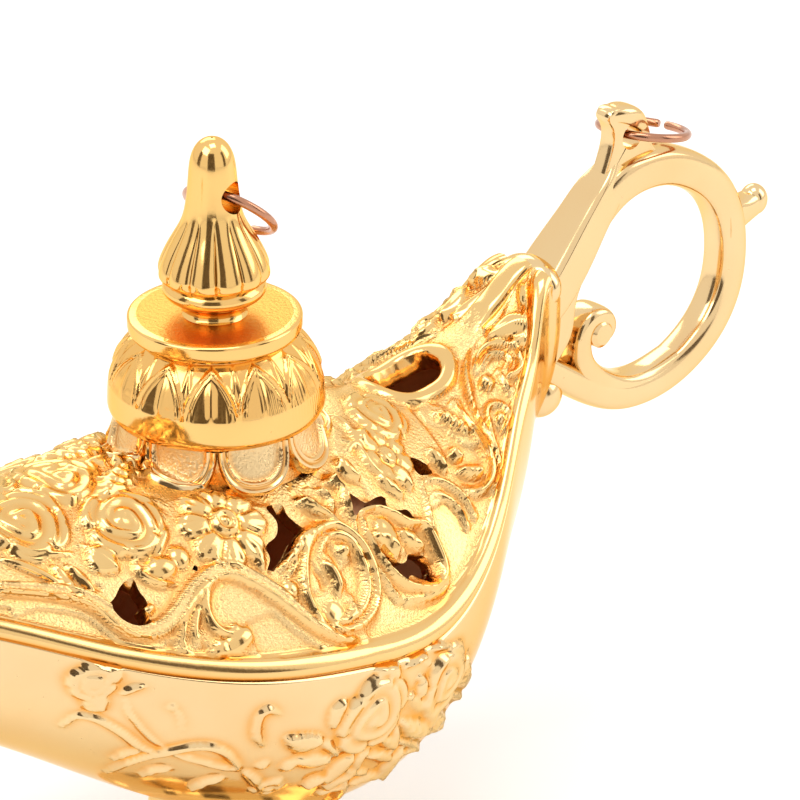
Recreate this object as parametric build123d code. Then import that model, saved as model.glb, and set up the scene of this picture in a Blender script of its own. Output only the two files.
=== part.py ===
from build123d import *
import math
import os

# A small genie oil lamp in polished, gold-plated die castings: a leaf-shaped hull split along its
# rim into a bowl and a pierced cover, a lift-off domed lid with a fluted finial, a scroll handle,
# a round foot, and two wire jump rings. Z is up, the origin is the middle of the foot's underside,
# +X points at the handle and -X at the spout. All lengths are in millimetres.

# Hull, measured from the lid's axis
spout_reach = 72.0
stern_reach = 46.0
half_beam = 21.9
seat_height = 52.0
wall = 1.8
overrun = 6.0

# One row for each station: reach, half breadth, heights of seam, keel and crest, and how square
# the cover's section is. Reach is a share of spout_reach or stern_reach, breadth of half_beam,
# and the heights are shares of seat_height.
HULL_SHARES = [
    (-1.000, 0.224, 1.088, 0.996, 1.181, 0.50),
    (-0.861, 0.196, 1.006, 0.904, 1.100, 0.50),
    (-0.722, 0.283, 0.948, 0.777, 1.050, 0.62),
    (-0.556, 0.521, 0.871, 0.621, 1.010, 0.90),
    (-0.375, 0.767, 0.754, 0.458, 0.992, 1.00),
    (-0.181, 0.959, 0.660, 0.281, 0.979, 0.95),
    (0.000, 1.000, 0.606, 0.165, 0.973, 0.84),
    (0.196, 0.954, 0.581, 0.142, 0.965, 0.90),
    (0.370, 0.858, 0.613, 0.175, 0.925, 1.00),
    (0.543, 0.685, 0.708, 0.262, 0.900, 1.00),
    (0.696, 0.475, 0.825, 0.383, 0.937, 0.95),
    (0.826, 0.292, 0.923, 0.529, 0.996, 0.80),
    (0.913, 0.183, 1.019, 0.673, 1.038, 0.60),
    (0.967, 0.132, 0.973, 0.737, 1.013, 0.50),
    (1.000, 0.068, 0.923, 0.798, 0.962, 0.50),
]
station_steps = 4
crest_power_share = 1.9
seam_stations = 13
cavity_stations = 12

# Rim bead of the cover, over the seam
bead_height = 2.2
bead_proud = 0.55

# Spout mouth
mouth_lip_radius = 0.9
mouth_lip_spread = 4.5
mouth_tilt = 28.0
mouth_reach_share = 0.962
mouth_height_share = 1.071

# Neck collar of the cover, with its row of petals
neck_bore_radius = 7.8
collar_radius = 10.2
collar_flare = 1.9
collar_drop = 5.0
seat_gap = 0.3
petal_count = 8
petal_depth_share = 0.62

# Round openings of the cover
crest_hole_length = 8.0
crest_hole_width = 5.8
crest_hole_rim = 1.1
crest_hole_rise = 0.7
crest_hole_place_share = 0.552
crest_hole_height_share = 0.900

# Outlines of the openings in the cover's flank, in a plane that lies along the flank: distance
# along the lamp, then up the slope, both as shares of half_beam
FLANK_OPENING_SHARES = {
    "under_rose": [(-1.17, 0.25), (-1.12, 0.29), (-1.02, 0.30), (-0.99, 0.24), (-1.03, 0.21),
                   (-1.00, 0.13), (-1.05, 0.07), (-1.14, 0.13)],
    "beside_daisy": [(-0.17, 0.37), (-0.09, 0.34), (-0.04, 0.25), (-0.16, 0.19), (-0.26, 0.12),
                     (-0.35, 0.08), (-0.35, 0.12), (-0.27, 0.19), (-0.26, 0.26)],
    "over_scroll": [(0.26, 0.35), (0.37, 0.26), (0.45, 0.19), (0.56, 0.13), (0.61, 0.06),
                    (0.47, 0.11), (0.33, 0.17), (0.24, 0.16), (0.22, 0.26)],
    "in_scroll": [(0.29, 0.01), (0.36, -0.01), (0.41, -0.09), (0.48, -0.09), (0.57, -0.12),
                  (0.60, -0.17), (0.55, -0.24), (0.42, -0.18), (0.34, -0.11)],
    "leaf_gap": [(0.77, 0.31), (0.84, 0.28), (0.88, 0.21), (0.79, 0.23)],
}
flank_lean = 55.0
flank_out_share = 0.73
flank_up_share = 0.77
opening_corner = 0.25

# Raised ornament: ribs, each a width and a line of points, and flowers, each a place and a radius.
# On the cover they lie in the same plane as the openings, and on the bowl in its side view, from
# the lamp's axis and the table up. All are shares of half_beam
relief_rise = 0.7
flower_eye_rise = 1.1
COVER_RIB_SHARES = {
    "rim_scroll": (0.075, [(-1.47, 0.40), (-1.31, 0.31), (-1.23, 0.23), (-1.10, 0.07), (-1.00, 0.05),
                           (-0.78, 0.13), (-0.55, 0.16), (-0.38, 0.00), (-0.25, -0.21), (-0.14, -0.31)]),
    "loop": (0.050, [(-0.20, -0.22), (-0.22, -0.10), (-0.18, 0.01), (-0.07, 0.14), (0.10, 0.16),
                     (0.20, 0.01), (0.16, -0.19), (0.01, -0.29)]),
    "second_loop": (0.050, [(0.27, 0.17), (0.47, 0.12), (0.64, 0.01), (0.65, -0.14), (0.60, -0.25),
                            (0.45, -0.24), (0.31, -0.12), (0.25, 0.04)]),
    "lozenge": (0.045, [(0.22, 0.46), (0.13, 0.53), (0.05, 0.45), (0.05, 0.27), (0.15, 0.13)]),
    "arch_rib": (0.045, [(1.46, 0.66), (1.34, 0.53), (1.26, 0.33), (1.21, 0.12)]),
}
COVER_FLOWER_SHARES = {
    "daisy": (-0.43, 0.36, 0.215),
    "rose": (-0.88, 0.50, 0.190),
    "spout_rose": (-1.34, 0.70, 0.200),
    "stern_rose": (0.77, 0.55, 0.150),
}
BOWL_RIB_SHARES = {
    "branch": (0.045, [(-1.03, 1.24), (-0.86, 1.29), (-0.72, 1.20), (-0.63, 1.09)]),
    "briar": (0.040, [(-1.44, 1.50), (-1.33, 1.53), (-1.20, 1.42), (-1.03, 1.24)]),
}
BOWL_FLOWER_SHARES = {
    "rose": (0.04, 1.15, 0.205),
    "stern_rose": (0.57, 1.14, 0.175),
    "bud": (-1.37, 1.70, 0.110),
}
flower_petals = 6
petal_spread_share = 0.60
petal_size_share = 0.40
flower_eye_share = 0.34

# Foot and its screw
foot_radius = 14.5
foot_neck_radius = 7.4
foot_web = 4.0
foot_recess_radius = 10.5
FOOT_SHARES = [(1.0, 0.0), (1.0, 0.14), (0.93, 0.26), (0.72, 0.42), (0.58, 0.62), (0.53, 0.85)]
foot_height = 8.6
foot_screw_radius = 1.5
foot_screw_head_radius = 2.75
foot_screw_head_height = 1.7
foot_screw_length = 8.6
boss_radius = 3.2
boss_cover = 1.2
screw_clearance = 0.05
socket_share = 0.55
socket_depth_share = 0.6

# Lid, from its seat up
lid_radius = 10.7
lid_height = 10.2
LID_SHARES = [(0.965, 0.0), (0.995, 0.06), (1.0, 0.14), (0.99, 0.29), (0.955, 0.44), (0.89, 0.58),
              (0.80, 0.70), (0.715, 0.775)]
disc_radius = 8.6
disc_thickness = 2.0
disc_edge = 0.8
groove_radius = 7.5
lid_wall = 1.6
skirt_length = 4.0
skirt_clearance = 0.35
skirt_wall = 1.2

# Finial, from the disc up
finial_height = 18.5
finial_radius = 5.6
flute_count = 12
FINIAL_FOOT_SHARES = [(0.66, 0.0), (0.61, 0.03), (0.61, 0.06), (0.80, 0.10), (0.905, 0.135),
                      (0.905, 0.165), (0.85, 0.19)]
FLUTE_SHARES = [(0.85, 0.19, 0.02), (0.99, 0.235, 0.10), (0.985, 0.27, 0.11), (0.93, 0.32, 0.10),
                (0.82, 0.39, 0.085), (0.69, 0.46, 0.065), (0.57, 0.53, 0.04), (0.495, 0.605, 0.01)]
TIP_SHARES = [(0.495, 0.605), (0.455, 0.68), (0.43, 0.76), (0.415, 0.83), (0.36, 0.92),
              (0.24, 0.98), (0.0, 1.0)]
finial_hole_radius = 1.6
finial_hole_height = 12.7
finial_hole_turn = 15.0
finial_screw_radius = 1.2
finial_screw_head_radius = 2.3
finial_screw_head_height = 1.2
finial_screw_length = 5.0

# Jump rings
ring_wire = 0.45
ring_radius = 4.55
ring_set = 4.3
ring_gap_angle = 9.0
finial_ring_dip = 45.0
handle_ring_turn = 18.0
handle_ring_dip = 15.0

# Scroll handle, drawn in the lamp's middle plane from the foot of its stem
stem_root_height_share = 0.935
handle_reach = 32.0
handle_thickness = 4.4
stem_thickness = 3.9
stem_root_thickness = 5.0
bar_depth = 4.3
bar_corner_share = 0.56
scroll_bar_depth = 2.8
scroll_thickness = 3.8
branch_depth = 3.0
knob_radius = 1.7
knob_neck_radius = 1.2
scroll_eye_radius = 1.45
thumb_thickness = 3.0
thumb_edge = 1.0
thumb_hole_radius = 1.4
bar_steps = 16
# Points of each bar as shares of handle_reach, from the middle of the stem's root
STEM_SHARES = [(-0.14, -0.044), (-0.031, 0.068), (0.125, 0.228), (0.280, 0.395)]
HOOP_SHARES = [(0.350, 0.360), (0.556, 0.324), (0.722, 0.187), (0.80, -0.069), (0.709, -0.285),
               (0.512, -0.407), (0.331, -0.422)]
SCROLL_SHARES = [(0.406, -0.398), (0.206, -0.344), (0.10, -0.219), (0.134, -0.104),
                 (0.216, -0.138), (0.181, -0.194)]
BRANCH_SHARES = [(0.406, -0.438), (0.188, -0.398), (0.044, -0.291), (-0.062, -0.198)]
THUMB_SHARES = [(0.240, 0.360), (0.248, 0.431), (0.250, 0.487), (0.220, 0.531), (0.245, 0.568),
                (0.312, 0.584), (0.362, 0.562), (0.394, 0.512), (0.403, 0.449), (0.440, 0.370)]
thumb_hole_share = (0.328, 0.4775)
KNOB_SHARES = [(0.845, 0.040), (0.919, 0.071)]
scroll_eye_share = (0.175, -0.157)
STRAP_SHARES = [(-0.02, 0.070), (0.02, -0.080), (-0.01, -0.240), (-0.045, -0.330)]
strap_thickness = 4.0
strap_depth = 2.4
root_lug_share = (-0.012, -0.332)
root_lug_radius = 2.4

# Screws that hold the handle from inside the bowl
handle_screw_radius = 1.0
handle_screw_head_radius = 1.5
handle_screw_head_height = 1.0
handle_screw_length = 9.0
handle_screw_reach_share = 0.824
HANDLE_SCREW_HEIGHT_SHARES = [0.745, 0.900]


def reach_of(share):
    """Distance along the lamp of a share of the hull's reach, towards the spout or the stern."""
    return share * (spout_reach if share < 0 else stern_reach)


def station_face(row, inset):
    """One cross-section of the hull, drawn in by inset: the bowl's curve below, the cover's above."""
    reach, breadth, seam, keel, crest, square = row
    across = breadth * half_beam - inset
    rim = seam * seat_height
    deep = rim - keel * seat_height - inset
    rise = crest * seat_height - inset - rim
    station = Plane(origin=(reach_of(reach), 0, 0), x_dir=(0, 1, 0), z_dir=(1, 0, 0))
    bowl_line = []
    cover_line = []
    for step in range(-station_steps, station_steps + 1):
        side = step / station_steps
        angle = side * math.pi / 2
        bowl_line.append((across * math.sin(angle), rim - deep * math.cos(angle)))
        height = (1 - abs(side) ** crest_power_share) ** square
        cover_line.append((across * side, rim + rise * height))
    lower = Spline(*bowl_line)
    upper = Spline(*cover_line)
    return station * make_face([lower, upper])


def hull_solid(inset, rows):
    """The whole hull with its spout, drawn in by inset, through the given stations."""
    return loft([station_face(row, inset) for row in rows])


def seam_line(lift):
    """Side view of the seam from spout to arch, moved up square to itself by lift."""
    rows = HULL_SHARES[:seam_stations]
    points = [(reach_of(row[0]), row[2] * seat_height) for row in rows]
    line = []
    for place, (x, z) in enumerate(points):
        before = points[max(place - 1, 0)]
        after = points[min(place + 1, len(points) - 1)]
        run = math.dist(before, after)
        line.append((x - lift * (after[1] - before[1]) / run, z + lift * (after[0] - before[0]) / run))
    return line


def above_seam(lift):
    """Everything over the seam line, as a block across the lamp."""
    line = seam_line(lift)
    first = (line[0][0] - overrun, line[0][1] + overrun / 3)
    top = 2 * seat_height
    edges = Spline(first, *line)
    last = line[-1]
    frame = Polyline(last, (last[0] + lift / 4, top), (first[0], top), first)
    side = Plane.XZ * make_face([edges, frame])
    return extrude(side, half_beam + overrun, both=True)


def mouth_plane():
    """The plane of the spout's mouth, square to the spout, looking outwards."""
    tilt = math.radians(mouth_tilt)
    place = (-mouth_reach_share * spout_reach, 0, mouth_height_share * seat_height)
    return Plane(origin=place, x_dir=(0, 1, 0), z_dir=(-math.cos(tilt), 0, math.sin(tilt)))


def mouth_cutter():
    """What is cut away in front of the spout's mouth."""
    block = Box(half_beam, half_beam, overrun, align=(Align.CENTER, Align.CENTER, Align.MIN))
    return mouth_plane() * block


def neck_bore():
    """The round way in through the cover's neck, from the inside of the lamp to above the seat."""
    depth = seat_height / 4
    bore = Cylinder(neck_bore_radius, depth + overrun, align=(Align.CENTER, Align.CENTER, Align.MIN))
    return Pos(0, 0, seat_height - depth) * bore


def collar_solid():
    """Neck collar that flares into a ring of petals over the cover's shoulder."""
    top = seat_height - seat_gap
    low = top - collar_drop
    profile = make_face([
        Polyline((neck_bore_radius, low), (neck_bore_radius, top), (collar_radius, top),
                 (collar_radius, top - collar_drop / 4)),
        Spline((collar_radius, top - collar_drop / 4), (collar_radius + collar_flare / 3, low + collar_drop / 3),
               (collar_radius + collar_flare, low)),
        Line((collar_radius + collar_flare, low), (neck_bore_radius, low)),
    ])
    collar = revolve(Plane.XZ * profile, Axis.Z)
    # Notches between the petals, drawn as pointed arches that are open at the collar's foot
    notch_height = collar_drop * petal_depth_share
    half_pitch = (collar_radius + collar_flare) * math.pi / petal_count
    notch = make_face([
        Line((-half_pitch, low - overrun), (half_pitch, low - overrun)),
        Polyline((half_pitch, low - overrun), (half_pitch, low)),
        Spline((half_pitch, low), (half_pitch / 3, low + notch_height / 3), (0, low + notch_height)),
        Spline((0, low + notch_height), (-half_pitch / 3, low + notch_height / 3), (-half_pitch, low)),
        Line((-half_pitch, low), (-half_pitch, low - overrun)),
    ])
    blade = extrude(Plane.YZ * notch, collar_radius + overrun)
    blade -= Cylinder(collar_radius, 2 * (seat_height + overrun))
    for place in range(petal_count):
        collar -= Rot(0, 0, (place + 0.5) * 360 / petal_count) * blade
    return collar


def flank_plane():
    """A plane that lies along the cover's flank and looks outwards."""
    lean = math.radians(flank_lean)
    place = (0, -flank_out_share * half_beam, flank_up_share * seat_height)
    return Plane(origin=place, x_dir=(1, 0, 0), z_dir=(0, -math.sin(lean), math.cos(lean)))


def flank_openings():
    """Cutters for the openings of one flank and, mirrored, of the other."""
    flank = flank_plane()
    cutters = []
    for outline in FLANK_OPENING_SHARES.values():
        points = [(along * half_beam, up * half_beam) for along, up in outline]
        hole = make_face(Polyline(*points, close=True))
        hole = fillet(hole.vertices(), opening_corner)
        cutter = extrude(flank * hole, overrun, both=True)
        cutters.append(cutter)
        cutters.append(mirror(cutter, about=Plane.XZ))
    return cutters


def crest_hole(grow, low, high):
    """An upright block with the outline of the oval opening on the crest, wider by grow."""
    outline = SlotOverall(crest_hole_length + 2 * grow, crest_hole_width + 2 * grow)
    block = extrude(outline, high - low)
    return Pos(crest_hole_place_share * stern_reach, 0, low) * block


def raised_faces(ribs, flowers):
    """Outlines of the raised ornament: of its ribs and petals, and of the flowers' higher eyes."""
    low = Sketch()
    eyes = Sketch()
    for width, points in ribs.values():
        path = Spline(*[(along * half_beam, up * half_beam) for along, up in points])
        low += trace(path, width * half_beam)
    for along, up, radius in flowers.values():
        middle = Pos(along * half_beam, up * half_beam)
        size = radius * half_beam
        petals = [petal * Circle(size * petal_size_share)
                  for petal in PolarLocations(size * petal_spread_share, flower_petals)]
        low += middle * (Circle(size * petal_spread_share) + petals)
        eyes += middle * Circle(size * flower_eye_share)
    return low, eyes


def relief_solid(plane, faces, zone):
    """Raised ornament of one flank. It follows the hull's surface, and zone bounds it."""
    low, eyes = faces
    ribs = extrude(plane * low, 2 * overrun, both=True) & hull_solid(-relief_rise, HULL_SHARES)
    heights = extrude(plane * eyes, 2 * overrun, both=True) & hull_solid(-flower_eye_rise, HULL_SHARES)
    return (ribs + heights) & zone


def rim_bead():
    """The bead over the seam, as a solid block across the lamp."""
    band = above_seam(0) - above_seam(bead_height)
    return hull_solid(-bead_proud, HULL_SHARES) & band


def cover_solid(outer, cavity, bead_block):
    """Upper casting: the pierced cover with its rim bead, collar and the top of the spout."""
    faces = raised_faces(COVER_RIB_SHARES, COVER_FLOWER_SHARES)
    flank = relief_solid(flank_plane(), faces, above_seam(bead_height))
    cover = ((outer & above_seam(0)) + bead_block + flank + mirror(flank, about=Plane.XZ)) - cavity
    cover += collar_solid()
    crest_height = crest_hole_height_share * seat_height
    rim = crest_hole(crest_hole_rim, crest_height - 2 * wall, crest_height + overrun)
    lifted = hull_solid(-crest_hole_rise, HULL_SHARES)
    cover += (lifted & rim) - cavity
    cover -= neck_bore()
    cover -= crest_hole(0, crest_height - overrun, crest_height + overrun)
    for cutter in flank_openings():
        cover -= cutter
    return cover - mouth_cutter()


def screw_solid(radius, head_radius, head_height, length):
    """Pan-head screw along +Z from under its head at the origin, with a hexagon socket."""
    shank = Cylinder(radius, length, align=(Align.CENTER, Align.CENTER, Align.MIN))
    head = Pos(0, 0, -head_height) * Cylinder(head_radius, head_height, align=(Align.CENTER, Align.CENTER, Align.MIN))
    head = fillet(head.edges().sort_by(Axis.Z)[0], head_height / 3)
    socket = extrude(RegularPolygon(head_radius * socket_share, 6), head_height * socket_depth_share)
    return head + shank - Pos(0, 0, -head_height) * socket


def foot_screw_place():
    """Where the foot's screw sits under the foot's web."""
    return Pos(0, 0, foot_web)


def bowl_solid(outer, cavity):
    """Lower casting: the bowl with its boss for the foot's screw and the bottom of the spout."""
    side = Plane(origin=(0, -half_beam, 0), x_dir=(1, 0, 0), z_dir=(0, -1, 0))
    under_seam = hull_solid(-flower_eye_rise, HULL_SHARES) - above_seam(0)
    flank = relief_solid(side, raised_faces(BOWL_RIB_SHARES, BOWL_FLOWER_SHARES), under_seam)
    bowl = ((outer - above_seam(0)) + flank + mirror(flank, about=Plane.XZ)) - cavity
    boss_top = foot_web + foot_screw_length + boss_cover
    boss = outer & Cylinder(boss_radius, boss_top, align=(Align.CENTER, Align.CENTER, Align.MIN))
    bowl += boss
    bowl -= foot_screw_place() * Cylinder(foot_screw_radius + screw_clearance, foot_screw_length,
                                          align=(Align.CENTER, Align.CENTER, Align.MIN))
    for place in handle_screw_places():
        bowl -= place * Cylinder(handle_screw_radius + screw_clearance, handle_screw_length,
                                 align=(Align.CENTER, Align.CENTER, Align.MIN))
    return bowl - mouth_cutter()


def foot_solid(outer):
    """Flared round foot, cut to the hull that it carries and hollow underneath."""
    points = [(foot_radius * out, foot_height * up) for out, up in FOOT_SHARES]
    top = foot_height + 2 * overrun
    profile = make_face([
        Line((0, 0), points[0]),
        Line(points[0], points[1]),
        Spline(*points[1:], (foot_neck_radius, top / 2), (foot_neck_radius, top)),
        Polyline((foot_neck_radius, top), (0, top), (0, 0)),
    ])
    foot = revolve(Plane.XZ * profile, Axis.Z) - outer
    foot -= Cone(foot_recess_radius, foot_neck_radius - wall, foot_web,
                 align=(Align.CENTER, Align.CENTER, Align.MIN))
    foot -= foot_screw_place() * Cylinder(foot_screw_radius + screw_clearance, top,
                                          align=(Align.CENTER, Align.CENTER, Align.MIN))
    return foot.solids().sort_by(Axis.Z)[0]


def lid_solid():
    """Domed lid with the flat disc, the skirt that drops into the neck, and its petal band."""
    points = [(lid_radius * out, lid_height * up) for out, up in LID_SHARES]
    disc_low = lid_height - disc_thickness
    outside = make_face([
        Polyline((0, lid_height), (0, 0), points[0]),
        Spline(*points),
        Polyline(points[-1], (groove_radius, points[-1][1]), (groove_radius, disc_low),
                 (disc_radius - disc_edge, disc_low)),
        ThreePointArc((disc_radius - disc_edge, disc_low), (disc_radius, lid_height - disc_thickness / 2),
                      (disc_radius - disc_edge, lid_height)),
        Line((disc_radius - disc_edge, lid_height), (0, lid_height)),
    ])
    lid = revolve(Plane.XZ * outside, Axis.Z)
    skirt_radius = neck_bore_radius - skirt_clearance
    lid += Cylinder(skirt_radius, skirt_length, align=(Align.CENTER, Align.CENTER, Align.MAX))
    hollow_radius = skirt_radius - skirt_wall
    hollow_top = lid_height - disc_thickness - lid_wall
    hollow = Cylinder(hollow_radius, skirt_length + hollow_top, align=(Align.CENTER, Align.CENTER, Align.MIN))
    hollow = fillet(hollow.edges().sort_by(Axis.Z)[-1], lid_wall)
    lid -= Pos(0, 0, -skirt_length) * hollow
    lid -= Cylinder(finial_screw_radius + screw_clearance, lid_height + overrun,
                    align=(Align.CENTER, Align.CENTER, Align.MIN))
    return Pos(0, 0, seat_height) * lid


def lobed_face(radius, height, groove):
    """Level section of the finial with one outward arc for each flute."""
    inner = radius - groove
    edges = []
    for place in range(flute_count):
        start = 2 * math.pi * place / flute_count
        middle = start + math.pi / flute_count
        end = start + 2 * math.pi / flute_count
        edges.append(ThreePointArc((inner * math.cos(start), inner * math.sin(start)),
                                   (radius * math.cos(middle), radius * math.sin(middle)),
                                   (inner * math.cos(end), inner * math.sin(end))))
    return Pos(0, 0, height) * make_face(edges)


def finial_place():
    """Where the finial stands on the lid's disc."""
    return Pos(0, 0, seat_height + lid_height)


def finial_solid():
    """Fluted finial: turned foot, fluted bell and smooth bullet tip with a cross hole."""
    foot_line = [(finial_radius * out, finial_height * up) for out, up in FINIAL_FOOT_SHARES]
    foot = revolve(Plane.XZ * make_face([
        Polyline((0, foot_line[-1][1]), (0, 0), foot_line[0]),
        Spline(*foot_line),
        Line(foot_line[-1], (0, foot_line[-1][1])),
    ]), Axis.Z)
    bell = loft([lobed_face(finial_radius * out, finial_height * up, finial_radius * deep)
                 for out, up, deep in FLUTE_SHARES])
    tip_line = [(finial_radius * out, finial_height * up) for out, up in TIP_SHARES]
    tip = revolve(Plane.XZ * make_face([
        Line((0, tip_line[0][1]), tip_line[0]),
        Spline(*tip_line, tangents=((0, 1), (-1, 0)), tangent_scalars=(1, 1)),
        Line(tip_line[-1], (0, tip_line[0][1])),
    ]), Axis.Z)
    finial = foot + bell + tip
    hole = Rot(0, 0, finial_hole_turn) * Rot(90, 0, 0) * Cylinder(finial_hole_radius, 2 * finial_radius)
    finial -= Pos(0, 0, finial_hole_height) * hole
    finial -= Cylinder(finial_screw_radius + screw_clearance, finial_screw_length,
                       align=(Align.CENTER, Align.CENTER, Align.MIN))
    return finial_place() * finial


def finial_screw_solid():
    """Screw that holds the finial, its head inside the lid's hollow."""
    depth = disc_thickness + lid_wall
    screw = screw_solid(finial_screw_radius, finial_screw_head_radius, finial_screw_head_height,
                        finial_screw_length + depth - screw_clearance)
    return finial_place() * Pos(0, 0, -depth) * screw


def jump_ring(turn, dip, centre):
    """Open ring of round wire that passes through a cross hole at centre and dips away from it."""
    wire = Pos(ring_radius, 0, 0) * Rot(90, 0, 0) * Circle(ring_wire)
    ring = revolve(wire, Axis.Z, 360 - ring_gap_angle)
    ring = Rot(0, 0, ring_gap_angle) * ring
    return Pos(*centre) * Rot(0, 0, turn) * Rot(0, dip, 0) * Pos(ring_set, 0, 0) * ring


def handle_point(share, depth=0):
    """A point of the handle's side view in the lamp's own frame."""
    x, z = share
    return (stern_reach + x * handle_reach, depth, stem_root_height_share * seat_height + z * handle_reach)


def bar_face(width, depth, corner):
    """Section of a handle bar: a rectangle with its corners cut off."""
    half_width = width / 2
    half_depth = depth / 2
    cut = corner * min(half_width, half_depth)
    points = []
    for across, up in ((1, 1), (-1, 1), (-1, -1), (1, -1)):
        flat = (across * (half_width - cut), up * half_depth)
        steep = (across * half_width, up * (half_depth - cut))
        points += [steep, flat] if across == up else [flat, steep]
    return make_face(Polyline(*points, close=True))


def bar_solid(shares, width, depths, steps):
    """Bar of the handle along a smooth line, its depth changing evenly from end to end."""
    path = Spline(*[handle_point(share) for share in shares])
    sections = []
    for step in range(steps + 1):
        part = step / steps
        depth = depths[0] + (depths[1] - depths[0]) * part
        breadth = width[0] + (width[1] - width[0]) * part
        station = Plane(origin=path @ part, x_dir=(0, 1, 0), z_dir=path % part)
        sections.append(station * bar_face(breadth, depth, bar_corner_share))
    return loft(sections)


def handle_screw_places():
    """Where the handle's screws pass the bowl's stern wall, heads inside."""
    places = []
    for height in HANDLE_SCREW_HEIGHT_SHARES:
        reach = handle_screw_reach_share * stern_reach
        places.append(Pos(reach, 0, height * seat_height) * Rot(0, 90, 0))
    return places


def handle_solid(outer, bead_block):
    """Scroll handle: stem, hoop, inner scroll, branch, strap on the stern, thumb-piece and knob."""
    stem = bar_solid(STEM_SHARES, (stem_root_thickness, stem_thickness),
                     (stem_root_thickness, stem_thickness), bar_steps // 4)
    hoop = bar_solid(HOOP_SHARES, (handle_thickness, handle_thickness), (bar_depth, bar_depth), bar_steps)
    scroll = bar_solid(SCROLL_SHARES, (scroll_thickness, scroll_thickness),
                       (scroll_bar_depth, scroll_bar_depth / 2), bar_steps)
    branch = bar_solid(BRANCH_SHARES, (handle_thickness, handle_thickness),
                       (branch_depth, branch_depth), bar_steps // 2)
    strap = bar_solid(STRAP_SHARES, (stem_root_thickness, strap_thickness),
                      (strap_depth, strap_depth), bar_steps // 2)
    thumb_line = [handle_point(share) for share in THUMB_SHARES]
    thumb = make_face(Polyline(*thumb_line, close=True))
    thumb = extrude(thumb, thumb_thickness / 2, both=True, dir=(0, 1, 0))
    thumb = chamfer(thumb.edges().filter_by(Axis.Y, reverse=True), thumb_edge / 2)
    knob = Pos(*handle_point(KNOB_SHARES[1])) * Sphere(knob_radius)
    neck_path = Line(handle_point(KNOB_SHARES[0]), handle_point(KNOB_SHARES[1]))
    neck_start = Plane(origin=neck_path @ 0, z_dir=neck_path % 0)
    neck = extrude(neck_start * Circle(knob_neck_radius), neck_path.length)
    eye = Pos(*handle_point(scroll_eye_share)) * Rot(90, 0, 0) * Cylinder(scroll_eye_radius, scroll_thickness)
    lug = Pos(*handle_point(root_lug_share)) * Sphere(root_lug_radius)
    handle = hoop + stem + scroll + branch + strap + thumb + knob + neck + eye + lug
    hole = Pos(*handle_point(thumb_hole_share)) * Rot(90, 0, 0) * Cylinder(thumb_hole_radius, 2 * overrun)
    handle -= hole
    handle -= outer
    handle -= bead_block
    for place in handle_screw_places():
        handle -= place * Cylinder(handle_screw_radius + screw_clearance, handle_screw_length,
                                   align=(Align.CENTER, Align.CENTER, Align.MIN))
    return handle.solids().sort_by(SortBy.VOLUME)[-1]


def handle_screws_solid():
    """The two screws from inside the bowl into the roots of the handle."""
    screw = screw_solid(handle_screw_radius, handle_screw_head_radius, handle_screw_head_height,
                        handle_screw_length - screw_clearance)
    return [place * screw for place in handle_screw_places()]


def main():
    """Builds every piece and writes one file for each."""
    os.makedirs("parts", exist_ok=True)
    outer = hull_solid(0, HULL_SHARES)
    lip = mouth_plane() * Torus(mouth_lip_spread, mouth_lip_radius)
    outer += lip
    cavity = hull_solid(wall, HULL_SHARES[:cavity_stations])
    bead_block = rim_bead()
    ring_hole = (0, 0, seat_height + lid_height + finial_hole_height)
    parts = {
        "bowl": bowl_solid(outer, cavity),
        "pierced_cover": cover_solid(outer, cavity, bead_block),
        "foot": foot_solid(outer),
        "foot_screw": foot_screw_place() * screw_solid(foot_screw_radius, foot_screw_head_radius,
                                                       foot_screw_head_height,
                                                       foot_screw_length - screw_clearance),
        "lid": lid_solid(),
        "finial": finial_solid(),
        "finial_screw": finial_screw_solid(),
        "finial_ring": jump_ring(finial_hole_turn, finial_ring_dip, ring_hole),
        "handle": handle_solid(outer, bead_block),
        "handle_screws": Compound(children=handle_screws_solid()),
        "handle_ring": jump_ring(handle_ring_turn, handle_ring_dip, handle_point(thumb_hole_share)),
    }
    for name, shape in parts.items():
        export_step(shape, f"parts/{name}.step")
        print(name, round(shape.volume, 1), shape.is_valid)


main()
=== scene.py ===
import math
import random

import bmesh
import bpy
import numpy as np
from mathutils import Matrix, Vector
from mathutils.bvhtree import BVHTree


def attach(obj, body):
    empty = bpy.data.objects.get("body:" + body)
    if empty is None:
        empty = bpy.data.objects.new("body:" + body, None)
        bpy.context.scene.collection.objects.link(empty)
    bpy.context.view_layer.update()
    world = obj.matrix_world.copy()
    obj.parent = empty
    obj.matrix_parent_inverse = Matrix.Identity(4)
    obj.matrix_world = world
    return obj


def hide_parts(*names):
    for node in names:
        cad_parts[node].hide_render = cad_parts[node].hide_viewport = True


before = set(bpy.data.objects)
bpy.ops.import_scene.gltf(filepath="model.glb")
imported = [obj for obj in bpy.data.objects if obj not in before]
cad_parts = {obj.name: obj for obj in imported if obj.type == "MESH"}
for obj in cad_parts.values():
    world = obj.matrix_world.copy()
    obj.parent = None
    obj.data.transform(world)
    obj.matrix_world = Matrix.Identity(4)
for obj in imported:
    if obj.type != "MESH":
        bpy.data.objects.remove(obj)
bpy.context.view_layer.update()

# Camera
# A long lens looks down on the lamp from the spout's side. It stands where the photograph's
# ellipses and its two flanks agree, and the frame is 800 by 800 pixels.
MM = 0.001
eye = Vector((-483.16, -536.60, 396.41))
look_turn, look_down, look_roll = math.radians(43.429), math.radians(25.473), math.radians(-0.35)
focal_pixels = 8160
frame_pixels = 800
ahead = Vector((math.sin(look_turn) * math.cos(look_down), math.cos(look_turn) * math.cos(look_down),
                -math.sin(look_down)))
level_right = Vector((math.cos(look_turn), -math.sin(look_turn), 0))
level_up = level_right.cross(ahead)
right = math.cos(look_roll) * level_right + math.sin(look_roll) * level_up
up = math.cos(look_roll) * level_up - math.sin(look_roll) * level_right
camera_data = bpy.data.cameras.new("camera")
camera_data.sensor_width = 36
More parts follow.
